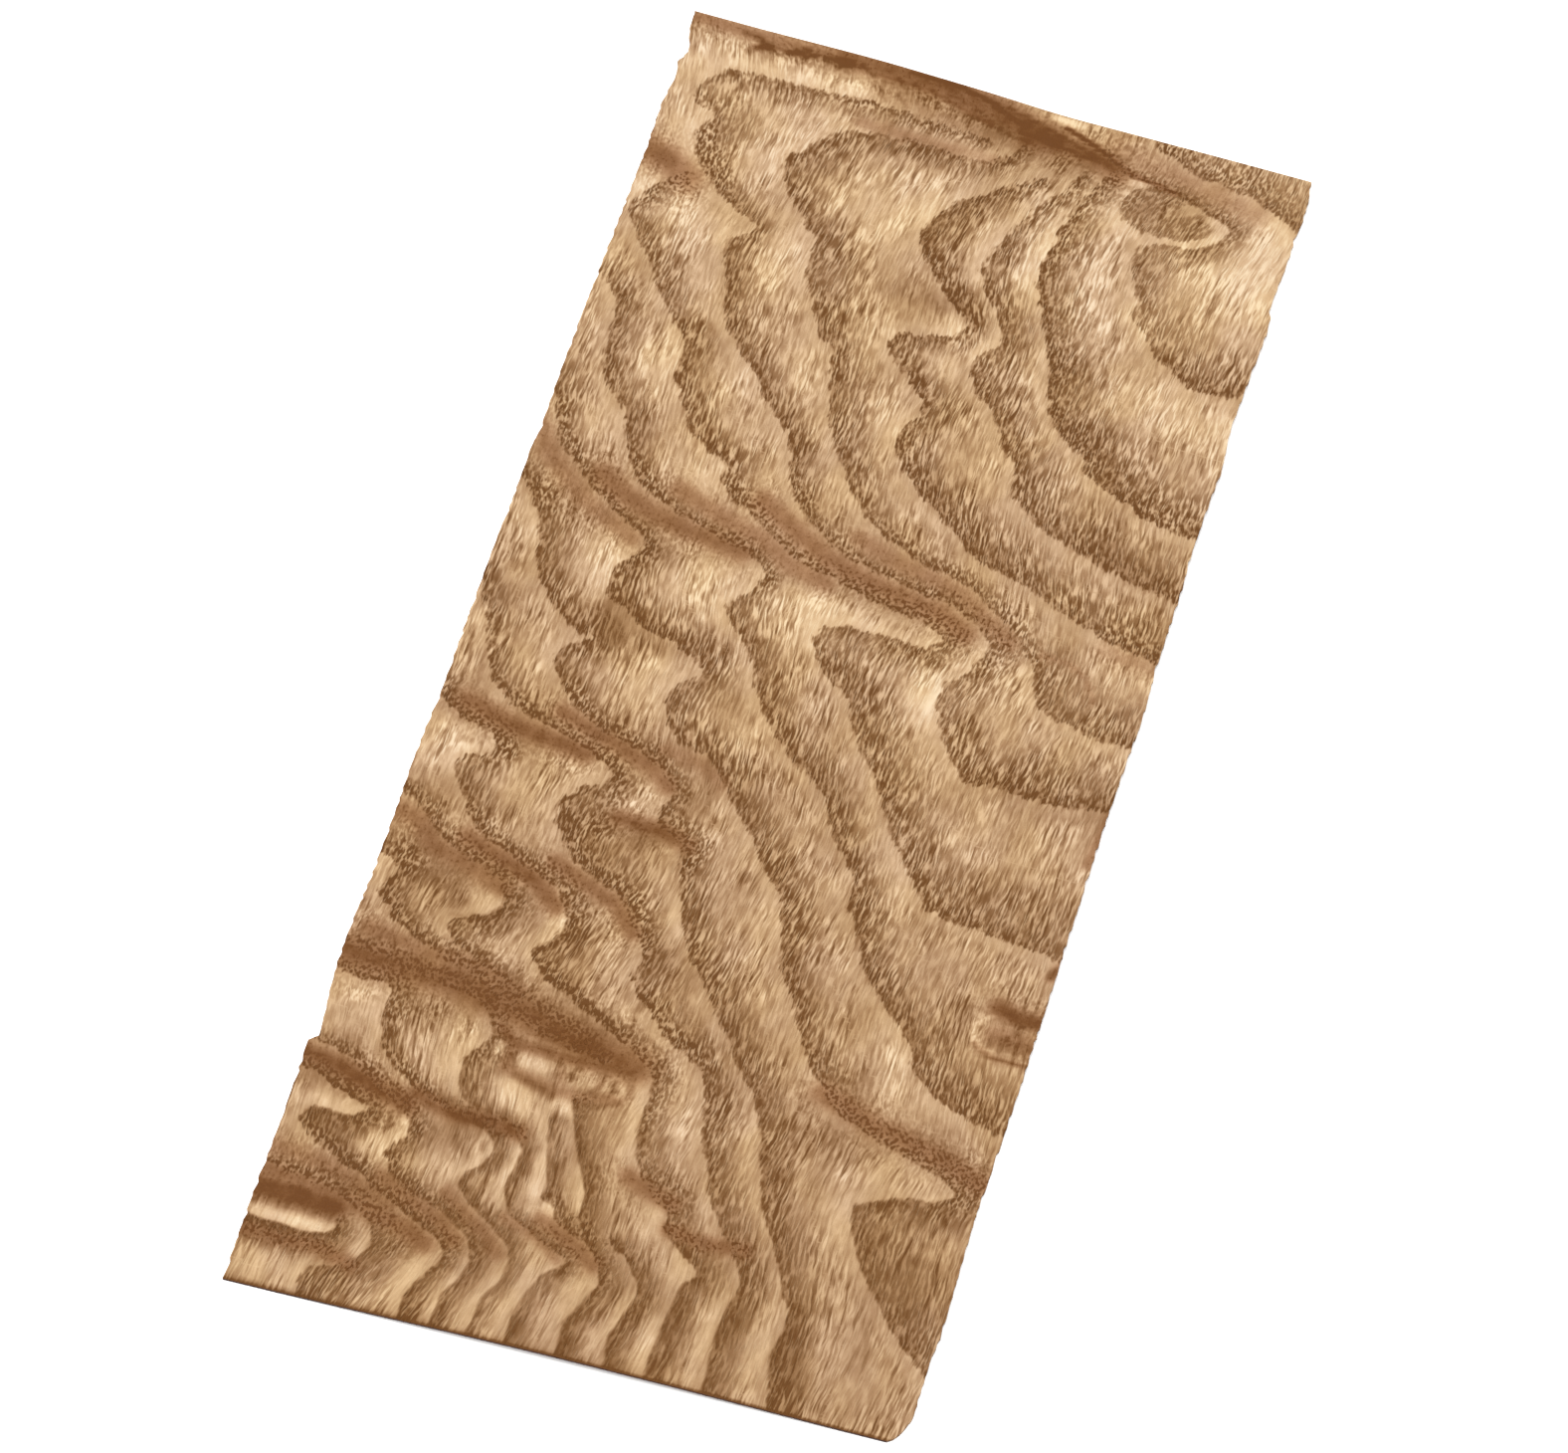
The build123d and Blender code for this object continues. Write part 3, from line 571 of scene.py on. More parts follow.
# %% Marks of the small knots
knot_marks = [
    # windows and pith of the small knots
    (0.9, 48, -32.1, -90.6, -32.1, -91.9), (1.0, -9, -30.2, -89, -29.6, -94),
    (1.75, 33, -25.9, -92.1, -22.4, -92.7), (0.7, -16, -28.6, -91.5, -28.2, -94.4),
    (0.9, -14, -19.9, -90.6, -19.5, -95), (1.5, -4, -17.4, -92.8, -15.8, -93.3),
    (1.5, 15, -13.9, -92.5, -12.7, -93.3), (0.65, -64, -17.1, -92.7, -16.7, -93.7),
    (0.7, -23, -10.9, -91, -11.2, -93.2, -11.9, -95), (0.65, -50, -8.6, -92.3, -8.3, -94),
    (0.5, 19, -9.7, -92.2, -9.9, -94, -8.8, -95.1, -7.4, -94.9), (0.8, 32, -7.1, -92.1, -6.7, -94.3),
    (0.6, -13, -5, -90, -5.2, -94.6), (0.8, -10, -33, -88.5, -27, -88.6, -16, -89.3, -6, -88.8),
    (1.0, -20, -27.5, -96.4, -23.5, -97.4, -19.5, -98.4), (0.6, 9, -19, -97.8, -13, -96.9, -7.5, -96),
    (0.6, -17, -14, -99.2, -10.5, -98.2, -6.5, -96.2), (2.4, 12, -28, -98.5, -25, -101, -22.5, -103),
    (1.5, 16, -17.5, -99.5, -14.5, -100.5), (0.6, -17, -36, -93, -34.5, -98, -32.5, -103),
    (0.5, -14, -33.8, -94, -32, -99, -31, -103), (0.4, 17, -31.2, -95.5, -30.2, -99),
    (1.5, -10, -36.8, -94, -36, -100), (0.8, -14, -12.8, -100, -11.6, -104, -10.4, -108),
    (1.8, 9, -3, -90, -3.2, -100, -3.4, -110), (1.4, 10, -19.2, -104, -17.6, -108),
    (2.0, 19, -29.3, -113, -27.2, -112.6), (1.3, 14, -27.6, -115, -29, -117.5),
    (0.7, -48, -28.4, -112, -28.2, -113.2), (1.1, 17, -22.2, -111.5, -22.6, -117, -23.6, -122),
    (0.6, -19, -24.6, -111, -24.9, -116, -26.8, -121), (1.1, -13, -20, -111, -19.6, -116, -20.2, -121),
    (1.3, 16, -16.8, -111, -16.6, -119), (0.7, -16, -13.8, -112, -12.6, -116, -11.6, -118),
    (1.5, 23, -12.9, -121.2, -11.7, -121.7), (1.0, 13, -9.4, -111, -8, -115, -7, -119),
    (0.6, -24, -14.4, -120.6, -13.9, -118.8, -12, -118.1, -10.4, -119.4, -9.8, -122),
    (0.6, -14, -31, -120, -27.5, -122.5), (0.9, -19, -34, -112, -33, -114),
    # lenses and crescents left of the strongest band's start
    (2.0, 15, -47, -61, -43, -63), (0.6, -24, -49.3, -66.8, -44, -65.8, -40.5, -63),
    (1.0, 22, -28.9, -59, -28.2, -64, -30.4, -67.4), (0.5, -26, -27, -60, -26.9, -65, -30.3, -68.8),
    (1.1, -12, -63.6, -61, -62.8, -66, -60, -69), (1.0, 26, -27.8, -42, -24.4, -41.7),
    (2.4, 14, -14, -42, -14, -48), (1.7, -14, -21, -36.4, -13, -37), (1.0, -10, -46, -58.6, -38, -59),
    (0.6, -16, -55, -60, -53, -66), (0.6, -16, -50.5, -60, -50, -65), (1.0, -16, -37.6, -60.5, -38.4, -66),
    # lower left: an eye with a pale crescent, and the pale strip between two brown bands
    (0.8, 38, -44.5, -111, -43.6, -112.5, -43.6, -114, -44.6, -116), (1.8, 12, -48.2, -110.6, -48.2, -115),
    (0.6, -62, -47.6, -110.8, -47, -113.8), (0.5, -44, -49.4, -110.8, -49.4, -113.8),
    (1.8, 20, -48.5, -117, -46.5, -119), (1.6, -16, -61, -116.2, -56, -117.8, -54, -118.5),
    (1.7, 16, -65, -112, -54.5, -112.6), (0.4, -24, -61.7, -111.4, -61.8, -113),
    (0.7, -18, -60.5, -130.6, -57.5, -130.9), (0.9, -22, -53.8, -131.3, -51.2, -132.2),
    (0.6, -16, -66, -131, -64, -131.3), (1.5, 8, -68, -137.4, -52, -137.4),
    (1.6, -8, -68, -141, -48, -141), (3.0, 10, -65, -148, -55, -148),
]
print(len(knot_marks), "marks of the small knots")

# %% Marks of the foot and the right edge
foot_marks = [
    # painted shade: the dark line along the foot, for the shadowed cut face and the gap under it
    (0.6, -95, -67, -152.4, -40, -151.4, 0, -150, 62, -147.8),
    # stripes that run into the foot
    (2.0, -9, -49.8, -145.5, -50, -149), (0.8, -6, -45, -143, -46, -148),
    (0.7, -6, -41.3, -141, -43, -148), (0.6, -5, -37.5, -142, -39, -148),
    (1.6, -11, -30.3, -141, -31.4, -148), (1.3, -13, -21.8, -131.5, -21.4, -138.5),
    (1.5, -10, -23.6, -140.5, -24.6, -147), (0.9, -9, -15.3, -137, -14.9, -140, -17.4, -144, -18, -147),
    (0.5, -6, -19.5, -144, -20.5, -147), (1.4, -10, -8.6, -136.5, -10.4, -143, -10.8, -147),
    (1.5, -11, 1.4, -139, 0.4, -138.5, -1, -144, -0.6, -147),
    (1.6, -9, 10, -137, 9.4, -140, 8.4, -144, 9, -147), (1.7, -10, 18.3, -127.5, 17.8, -139, 17.4, -147),
    (1.8, -8, 28, -132, 28.2, -137, 27.6, -141, 28.2, -147),
    (3.0, -9, 38.8, -134, 40.8, -139, 40, -143, 41.5, -147), (1.6, 12, -6, -140, -5, -147),
    (1.4, 10, 5.5, -138, 4, -146), (1.6, 14, 12.8, -138, 13, -146), (1.8, 8, 22.7, -133, 22.8, -146),
    (2.2, 10, 33, -133, 33.4, -146), (1.6, 12, -34.5, -141, -36, -147),
    # the round eye that the right edge cuts through
    (2.3, -22, 58, -55, 61, -56, 67, -56), (1.7, -22, 58.5, -62.8, 67, -62.9),
    (0.5, 36, 56.8, -57.2, 54.8, -58.6, 54, -60.3, 54.4, -62.2, 56, -64, 58.4, -64.8),
    (1.0, 12, 57.4, -59.4, 60.6, -59.6), (0.6, -46, 60.6, -61, 61.4, -62), (0.55, -36, 62.6, -58, 62, -60),
    (0.5, -28, 54.4, -64, 56.6, -65.6, 60, -66, 67, -65.8), (0.9, -42, 65.3, -44.5, 65.2, -45.5),
    # the darkest steep bands, partly their own brown and partly painted shade of the cockle hollows
    (2.2, -10, -68, -79.5, -50, -79.5, -35, -81, -25, -84, -14, -86.5),
    (1.8, -12, -24, -85.5, -12, -87.5, -6, -88.3), (2.0, -10, -68, -103, -55, -105.5, -46, -107.8),
    (1.6, -14, -36, -107.5, -24, -107.6), (1.6, -8, -50, -52.5, -38, -54),
    (1.6, -8, -56, -22.5, -40, -23.5), (1.8, -10, -48, 29, -32, 30.5, -16, 29),
]
print(len(foot_marks), "marks of the foot and the right edge")

# %% All the marks
small_marks = broad_tones + browner_wood + paler_wood
small_marks += top_marks + knot_marks + foot_marks
print(len(small_marks), "marks")

# %% [markdown]
# ## Fibres
#
# The fibres run along the leaf, but lean one way or the other round each ripple. Streaks drawn
# straight up the leaf would look printed on, so vessels and streaks have to follow the lean. It is
# read off the streaks at the places below, as the distance across for each distance along, and
# blends smoothly in between.

# %% Lean of the fibres, as (across, along, lean)
fibre_leans = [
    (-62, 144, -0.32), (-53, 144, -0.6), (-44, 146, -0.5), (-22, 146, -0.4), (-62, 135, -0.12),
    (-53, 135, -0.1), (-35, 135, 0.2), (-26, 135, 0.1), (-17, 135, 0.25), (19, 135, 0.3), (28, 136, 0.1),
    (37, 135, 0.1), (46, 135, 0.18), (55, 135, 0.3), (-62, 126, -0.13), (-17, 126, 0.22), (-8, 126, 0.18),
    (1, 126, 0.12), (37, 126, 0.13), (46, 126, 0.2), (55, 126, 0.28), (-60, 117, -0.13), (-17, 115, 0.09),
    (-5, 115, 0.1), (50, 117, 0.07), (-35, 108, 0.12), (-17, 103, 0.1), (10, 99, -0.25), (24, 104, -0.09),
    (1, 90, -0.18), (46, 90, 0.08), (-44, 86, -0.09), (-17, 81, -0.15), (10, 81, 0.08), (-35, 72, -0.08),
    (-26, 63, -0.13), (-53, 54, -0.2), (-44, 54, -0.16), (-35, 50, -0.12), (10, 54, -0.17),
    (50, 54, -0.14), (-62, 45, -0.12), (1, 45, -0.18), (19, 45, -0.15), (32, 44, -0.2), (50, 43, -0.23),
    (46, 34, -0.27), (-62, 27, -0.2), (46, 26, -0.1), (10, 19, 0.2), (28, 17, 0.12), (40, 17, 0.14),
    (-44, 9, -0.09), (-35, 9, -0.18), (-26, 9, -0.27), (-12, 9, -0.2), (1, 9, -0.18), (-58, 0, -0.1),
    (-22, -2, 0.13), (46, 0, 0.09), (-8, -10, -0.08), (-17, -18, -0.25), (-8, -18, -0.18), (8, -18, -0.1),
    (-53, -27, -0.2), (-44, -36, 0.1), (-26, -36, 0.18), (1, -37, 0.1), (28, -36, -0.08),
    (-62, -45, -0.15), (-33, -45, -0.15), (10, -45, 0.1), (19, -45, 0.13), (37, -45, 0.1), (52, -54, 0.09),
    (-44, -63, 0.14), (-26, -63, 0.14), (-17, -63, 0.2), (-8, -63, 0.16), (46, -63, -0.1),
    (55, -63, -0.16), (-40, -72, 0.2), (10, -81, -0.14), (34, -81, -0.12), (55, -80, -0.18),
    (-60, -90, -0.2), (-52, -90, -0.12), (-2, -92, 0.1), (28, -92, 0.1), (-62, -99, -0.26),
    (-52, -98, -0.34), (-44, -99, -0.2), (-35, -99, -0.14), (-26, -99, -0.2), (-6, -99, 0.18),
    (46, -99, 0.26), (37, -99, 0.1), (-12, -108, -0.2), (48, -110, -0.12), (-60, -117, -0.17),
    (-44, -117, 0.1), (-8, -116, -0.1), (19, -117, -0.14), (37, -117, -0.16), (55, -117, -0.12),
    (10, -127, -0.16), (37, -126, -0.14), (-8, -135, 0.1), (1, -135, 0.18), (55, -137, 0.12),
    (-41, -144, 0.35), (-33, -144, 0.3), (-25, -144, 0.2), (-5, -143, 0.15), (10, -143, 0.08),
]
print(len(fibre_leans), "places where the lean was read")

# %% [markdown]
# ## Numbering the fibres
#
# Adding the lean up along the leaf would give each point the number of the fibre that runs through
# it, but it would crowd some fibres together and tear others apart. Instead every point of a coarse
# grid gets a number such that the numbers change as little as possible along the fibres, and by
# about 1 for each millimetre across. That is a least-squares problem, and the method of conjugate
# gradients solves it in at most a few hundred short rounds.

# %% Blend the lean
LEAN_REACH = 6.0
LEVEL_PULL = 0.3


def blended_lean(grid_x, grid_y):
    """Lean of the fibres at each grid point, blended from the places where it was read."""
    total = np.zeros_like(grid_x)
    weight = np.full_like(grid_x, LEVEL_PULL)
    for place_x, place_y, lean in fibre_leans:
        nearness = np.exp(-((grid_x - place_x) ** 2 + (grid_y - place_y) ** 2) / (2 * LEAN_REACH**2))
        total += nearness * lean
        weight += nearness
    return total / weight


print("the lean reaches about", LEAN_REACH, "mm round each place")

# %% Slopes on the coarse grid, and back
GRID_STEP = 2.0
HALF_SLOPE = 1 / (2 * GRID_STEP)


def slopes(number):
    """Change of the number across and along, per mm, in the middle of each grid cell."""
    low_left, low_right = number[:-1, :-1], number[:-1, 1:]
    high_left, high_right = number[1:, :-1], number[1:, 1:]
    across = (low_right - low_left + high_right - high_left) * HALF_SLOPE
    along = (high_left - low_left + high_right - low_right) * HALF_SLOPE
    return across, along


def pull_back(across, along):
    """The reverse of slopes: what each grid point owes to the slopes of the cells round it."""
    owed = np.zeros((across.shape[0] + 1, across.shape[1] + 1))
    owed[:-1, 1:] += HALF_SLOPE * (across - along)
    owed[:-1, :-1] += HALF_SLOPE * (-across - along)
    owed[1:, 1:] += HALF_SLOPE * (across + along)
    owed[1:, :-1] += HALF_SLOPE * (-across + along)
    return owed


print("coarse grid with a point every", GRID_STEP, "mm")

# %% Number the fibres
# How much more it matters that the numbers follow the fibres than that they stay 1 mm apart
FOLLOW_FIBRES = 12.0
MOST_ROUNDS = 500
CLOSE_ENOUGH = 1e-9


def fibre_numbers_on_grid(lean, start):
    """Numbers that stay as constant along each fibre, and as evenly spaced, as they can be."""
    def residue(number):
        across, along = slopes(number)
        off_fibre = FOLLOW_FIBRES * (along + lean * across)
        return pull_back(off_fibre * lean + across, off_fibre)

    number = start.copy()
    ones = np.ones_like(lean)
    left_over = pull_back(ones, 0 * ones) - residue(number)
    step = left_over.copy()
    size = (left_over**2).sum()
    for _ in range(MOST_ROUNDS):
        answer = residue(step)
        share = size / (step * answer).sum()
        number += share * step
        left_over -= share * answer
        new_size = (left_over**2).sum()
        if new_size < CLOSE_ENOUGH:
            break
        step = left_over + (new_size / size) * step
        size = new_size
    return number


print("at most", MOST_ROUNDS, "rounds")

# %% Read the numbers off the grid
# The coarse grid reaches a little past the leaf on every side
GRID_ACROSS = np.arange(-72.0, 73.0, GRID_STEP)
GRID_ALONG = np.arange(-156.0, 157.0, GRID_STEP)
# A place on the grid's last line counts as the end of the cell before it
JUST_INSIDE = 1.001


def cell_and_part(value, stations):
    """The cell of the coarse grid that each value lies in, and how far into it."""
    place = np.clip((value - stations[0]) / GRID_STEP, 0, len(stations) - JUST_INSIDE)
    cell = place.astype(int)
    return cell, place - cell


def fibre_number(x, y):
    """Number of the fibre through each point, in mm across the leaf."""
    grid_x, grid_y = np.meshgrid(GRID_ACROSS, GRID_ALONG)
    middle_x = (grid_x[:-1, :-1] + grid_x[1:, 1:]) / 2
    middle_y = (grid_y[:-1, :-1] + grid_y[1:, 1:]) / 2
    number = fibre_numbers_on_grid(blended_lean(middle_x, middle_y), grid_x)
    row, row_part = cell_and_part(y, GRID_ALONG)
    column, column_part = cell_and_part(x, GRID_ACROSS)
    below = number[row, column] * (1 - column_part) + number[row, column + 1] * column_part
    above = number[row + 1, column] * (1 - column_part) + number[row + 1, column + 1] * column_part
    return below * (1 - row_part) + above * row_part


fibre = fibre_number(leaf_x, leaf_y)
print("fibre numbers from", fibre.min().round(1), "to", fibre.max().round(1))

# %% [markdown]
# ## From lines to values on the leaf
#
# For each point of the leaf and each ring line, the nearest place on the line gives a distance and
# a side. On the dark side the earlywood is full at the line and dies away over the fade.
#
# The line itself has to be far sharper than the mesh. A mesh fine enough to carry it would be many
# times too heavy. So the mesh doesn't carry the sharp step. It carries three smooth values: how far
# the point is past the nearest line, how much earlywood there would be if that line had been
# passed, and how much there would be if it hadn't. The wood picks one or the other at the line,
# vessel by vessel.

# %% Distance to a line
FAR_OFF = 1e9
SAME_DISTANCE = 1e-6
CLEARLY_NEARER = 1e-9


def ease(value, low, high):
    """Smooth step from 0 at low to 1 at high."""
    part = np.clip((value - low) / (high - low), 0, 1)
    return part * part * (3 - 2 * part)


def near_line(x, y, line):
    """For each point: distance to the line, distance to its left, place on it, and past its ends."""
    line = np.array(line, float).reshape(-1, 2)
    best = np.full(x.shape, FAR_OFF)
    to_left, place_on_line, past_end = np.zeros(x.shape), np.zeros(x.shape), np.zeros(x.shape)
    last = len(line) - 2
    for index, (start, end) in enumerate(zip(line[:-1], line[1:])):
        run = end - start
        length = math.hypot(*run)
        run_x, run_y = run / length
        along = (x - start[0]) * run_x + (y - start[1]) * run_y
        left = (y - start[1]) * run_x - (x - start[0]) * run_y
        over = np.maximum(-along, along - length)
        distance = np.hypot(left, np.maximum(over, 0))
        # At a bend both runs are equally near: the one seen more squarely decides the side
        tied = np.abs(distance - best) <= SAME_DISTANCE
        nearer = (distance < best - CLEARLY_NEARER) | (tied & (np.abs(left) > np.abs(to_left)))
        best = np.where(nearer, distance, best)
        to_left = np.where(nearer, left, to_left)
        place_on_line = np.where(nearer, index + np.clip(along / length, 0, 1), place_on_line)
        beyond = np.zeros(x.shape)
        if index == 0:
            beyond = np.maximum(beyond, -along)
        if index == last:
            beyond = np.maximum(beyond, along - length)
        past_end = np.where(nearer, beyond, past_end)
    return best, to_left, place_on_line, past_end


beside = near_line(np.array([3.0]), np.array([0.0]), [0, -5, 0, 5])
print("3 mm to the right of a line:", beside[0][0], "mm from it,", beside[1][0], "mm to its left")

# %% Earlywood of one ring
END_TAPER = 2.5
FADE_POWER = 1.3


def fades_at(line, place_on_line):
    """The fade at places on a line, from the points of it where a fade is given."""
    lengths = [math.hypot(b[0] - a[0], b[1] - a[1]) for a, b in zip(line, line[1:])]
    travelled = np.concatenate([[0], np.cumsum(lengths)])
    given = [index for index, point in enumerate(line) if len(point) == 3]
    here = np.interp(place_on_line, np.arange(len(line)), travelled)
    return np.interp(here, travelled[given], [line[index][2] for index in given])


def one_ring(x, y, strength, line):
    """How far each point is past this ring line, its earlywood, and the most that it could have."""
    widest = max(point[2] for point in line if len(point) == 3)
    corners = np.array([point[:2] for point in line], float)
    low = corners.min(0) - widest - END_TAPER
    high = corners.max(0) + widest + END_TAPER
    inside = (x > low[0]) & (x < high[0]) & (y > low[1]) & (y < high[1])
    distance, to_left, place_on_line, past_end = near_line(x[inside], y[inside], corners)
    full = strength * (1 - ease(past_end, 0, END_TAPER))
    fade = fades_at(line, place_on_line)
    side = np.full(x.shape, -FAR_OFF)
    share, full_share = np.zeros(x.shape), np.zeros(x.shape)
    side[inside] = np.where(to_left >= 0, distance, -distance)
    share[inside] = full * np.clip(1 - (distance / fade) ** FADE_POWER, 0, 1) * (to_left >= 0)
    full_share[inside] = full
    return side, share, full_share


first_values = one_ring(leaf_x, leaf_y, *rings[0])
print("the first ring reaches", int((first_values[1] > 0).sum()), "points of the leaf")

# %% Earlywood of all the rings
EDGE_REACH = 4.0
WELL_MARKED = 0.3
# Up to the first distance from a line the two answers differ fully, and beyond the second not at all
ANSWERS_PART = (0.9, 2.0)


def ring_values(x, y):
    """Distance past the nearest ring line, and the earlywood on either side of it."""
    values = np.array([one_ring(x, y, strength, line) for strength, line in rings])
    sides, shares, full_shares = values[:, 0], values[:, 1], values[:, 2]
    nearest = np.abs(sides).argmin(0)[None]
    side = np.take_along_axis(sides, nearest, 0)[0]
    own = np.take_along_axis(shares, nearest, 0)[0]
    full = np.take_along_axis(full_shares, nearest, 0)[0]
    np.put_along_axis(shares, nearest, 0, 0)
    older = shares.max(0)
    near_edge = 1 - ease(np.abs(side), *ANSWERS_PART)
    is_past = side >= 0
    passed = np.where(is_past, np.maximum(own, older * (1 - near_edge)), older + (full - older) * near_edge)
    not_passed = np.where(is_past, passed + (older - passed) * near_edge, older)
    return np.clip(side, -EDGE_REACH, EDGE_REACH), passed, not_passed


past_line, early_if_passed, early_if_not = ring_values(leaf_x, leaf_y)
early = np.where(past_line > 0, early_if_passed, early_if_not)
print("earlywood covers", round(float((early > WELL_MARKED).mean()), 2), "of the leaf")

# %% Steep bands, marks and places
BAND_POWER = 2.4
# The skirt is this much wider than its band, and only bands from this half-width up have one
SKIRT_WIDENING = 2.2
SKIRT_FROM = 1.9
MARK_POWER = 3
PLACE_POWER = 1.5
PLACE_SHARPNESS = 0.7
HALF_STEEP = 0.5


def steep_share(x, y):
    """How steeply the knife cut down through the rings at each point."""
    steep = np.zeros(x.shape)
    for half_width, depth, *line in steep_bands:
        distance = near_line(x, y, line)[0]
        steep = np.maximum(steep, depth * np.exp(-((distance / half_width) ** BAND_POWER)))
    return steep


def near_steep(x, y):
    """Wide skirt of the steep bands, where the vessels are already cut short."""
    skirt = np.zeros(x.shape)
    for half_width, depth, *line in steep_bands:
        if half_width >= SKIRT_FROM:
            share = near_line(x, y, line)[0] / (SKIRT_WIDENING * half_width)
            skirt = np.maximum(skirt, min(depth, 1.0) * np.exp(-(share**2)))
    return skirt


def mark_change(x, y):
    """How much lighter or darker the marks make each point."""
    change = np.zeros(x.shape)
    for half_width, amount, *line in small_marks:
        distance = near_line(x, y, line)[0]
        change += amount * np.exp(-((distance / half_width) ** MARK_POWER))
    return change


def in_places(x, y, places):
    """Sum of the amounts of these places at each point."""
    total = np.zeros(x.shape)
    for centre_x, centre_y, half_x, half_y, amount in places:
        spread = ((x - centre_x) / half_x) ** 2 + ((y - centre_y) / half_y) ** 2
        total += amount * np.exp(-(spread**PLACE_POWER) * PLACE_SHARPNESS)
    return total


steep = steep_share(leaf_x, leaf_y)
print("steep bands cover", round(float((steep > HALF_STEEP).mean()), 2), "of the leaf")

# %% [markdown]
# ## The leaf's mesh
#
# The show face is a grid three quarters of a millimetre apart. The underside needs less, so its
# grid is half as fine, and its outermost cells take in every point of the rim. The rim joins the
# two. The solid's own faces could be divided instead, but they are uneven, and the values need even
# points. The knife leaves the soft earlywood a little lower than the hard latewood, which gives the
# show face a relief of a few hundredths of a millimetre.

# %% Points of both faces
EARLYWOOD_SINK = 0.06
LEAF_THICKNESS = 0.6

grid_index = np.arange((rows + 1) * (columns + 1)).reshape(rows + 1, columns + 1)
top_points = np.stack([leaf_x, leaf_y, leaf_z - EARLYWOOD_SINK * np.clip(early, 0, 1)], -1)
low_points = np.stack([leaf_x, leaf_y, np.maximum(leaf_z - LEAF_THICKNESS, 0)], -1)

# The underside keeps every other point, and all of those on the rim
keep = np.zeros((rows + 1, columns + 1), bool)
keep[::2, ::2] = True
keep[[0, -1], :] = True
keep[:, [0, -1]] = True
low_index = np.full((rows + 1, columns + 1), -1)
low_index[keep] = grid_index.size + np.arange(keep.sum())

points = np.vstack([top_points.reshape(-1, 3), low_points[keep]]) * MM
print(grid_index.size, "points on the show face,", keep.sum(), "on the underside")

# %% Cells of both faces and the rim
def show_face_cells():
    """Cells of the show face, seen from above."""
    return [
        (grid_index[r, c], grid_index[r, c + 1], grid_index[r + 1, c + 1], grid_index[r + 1, c])
        for r in range(rows) for c in range(columns)
    ]


def underside_cells():
    """Cells twice as large, seen from below, with every rim point in the outermost ones."""
    cells = []
    for r in range(0, rows, 2):
        for c in range(0, columns, 2):
            around = [(r, c), (r + 1, c), (r + 2, c), (r + 2, c + 1), (r + 2, c + 2),
                      (r + 1, c + 2), (r, c + 2), (r, c + 1)]
            cells.append(tuple(low_index[p] for p in around if low_index[p] >= 0))
    return cells


def rim_cells():
    """Walls between the two faces, all the way round."""
    around = [(0, c) for c in range(columns)]
    around += [(r, columns) for r in range(rows)]
    around += [(rows, c) for c in range(columns, 0, -1)]
    around += [(r, 0) for r in range(rows, 0, -1)]
    return [
        (low_index[a], low_index[b], grid_index[b], grid_index[a])
        for a, b in zip(around, around[1:] + around[:1])
    ]


cells = show_face_cells() + underside_cells() + rim_cells()
print(len(cells), "cells")

# %% Make the leaf
SHARP_FROM = math.radians(40)

leaf_mesh = bpy.data.meshes.new("veneer_leaf")
leaf_mesh.from_pydata(points.tolist(), [], [tuple(int(i) for i in cell) for cell in cells])
leaf_mesh.shade_smooth()
leaf_mesh.set_sharp_from_angle(angle=SHARP_FROM)
leaf = bpy.data.objects.new("veneer_leaf", leaf_mesh)
bpy.context.collection.objects.link(leaf)

edges = [edge for p in leaf_mesh.polygons for edge in p.edge_keys]
faces_at_edge = np.unique(edges, axis=0, return_counts=True)[1]
triangles = sum(len(p.vertices) - 2 for p in leaf_mesh.polygons)
print("leaf mesh has", triangles, "triangles; closed:", bool((faces_at_edge == 2).all()))

# %% [markdown]
# ## Values for the wood
#
# A material can read a value that the mesh keeps for each point or face, whatever the side it is
# seen from. So each drawn thing becomes one named value. Both ends are dark where the knife cut
# them, partly for their darker end grain and partly as painted shade of the cut face and the
# shadow under it, and the split edges are a little brown, which is one value for each face.

# %% Keep the values on the mesh
END_CUT_DARK_AND_SHADE = 1.0
SPLIT_EDGE_BROWN = 0.3

point_values = {
    "past_line": past_line,
    "early_if_passed": early_if_passed,
    "early_if_not": early_if_not,
    "steep": steep,
    "short_vessels": near_steep(leaf_x, leaf_y),
    "pale": in_places(leaf_x, leaf_y, pale_places),
    "calm": in_places(leaf_x, leaf_y, calm_places),
    "small_mark": mark_change(leaf_x, leaf_y),
    "fibre_across": fibre,
    "fibre_along": leaf_y,
}
for name, field in point_values.items():
    kept_values = leaf_mesh.attributes.new(name, "FLOAT", "POINT")
    kept_values.data.foreach_set("value", np.concatenate([field.ravel(), field[keep]]).astype(np.float32))

# The cut ends' darkness is partly end grain and partly painted shade of the shadowed cut face; the split
# edges are a little brown
rim_dark_and_shade = ([END_CUT_DARK_AND_SHADE] * columns + [SPLIT_EDGE_BROWN] * rows) * 2
cut_end_and_shade_values = leaf_mesh.attributes.new("cut_end", "FLOAT", "FACE")
cut_end_and_shade_values.data.foreach_set("value", [0.0] * (len(cells) - len(rim_dark_and_shade)) + rim_dark_and_shade)
print("values kept:", ", ".join(point_values), "and cut_end")

# %% [markdown]
# ## Writing a material as arithmetic
#
# The wood is a long sum, and it is easier to read as one than as hundreds of nodes that are
# wired up one by one. `Paint` adds nodes to one material. `Amount` stands for a number that varies
# over the surface, and turns ordinary arithmetic on it into Math nodes.

# %% One method for every node
# The sockets of a Mix node that mixes colours
MIX_SHARE, MIX_FIRST, MIX_SECOND, MIXED = 0, 6, 7, 2


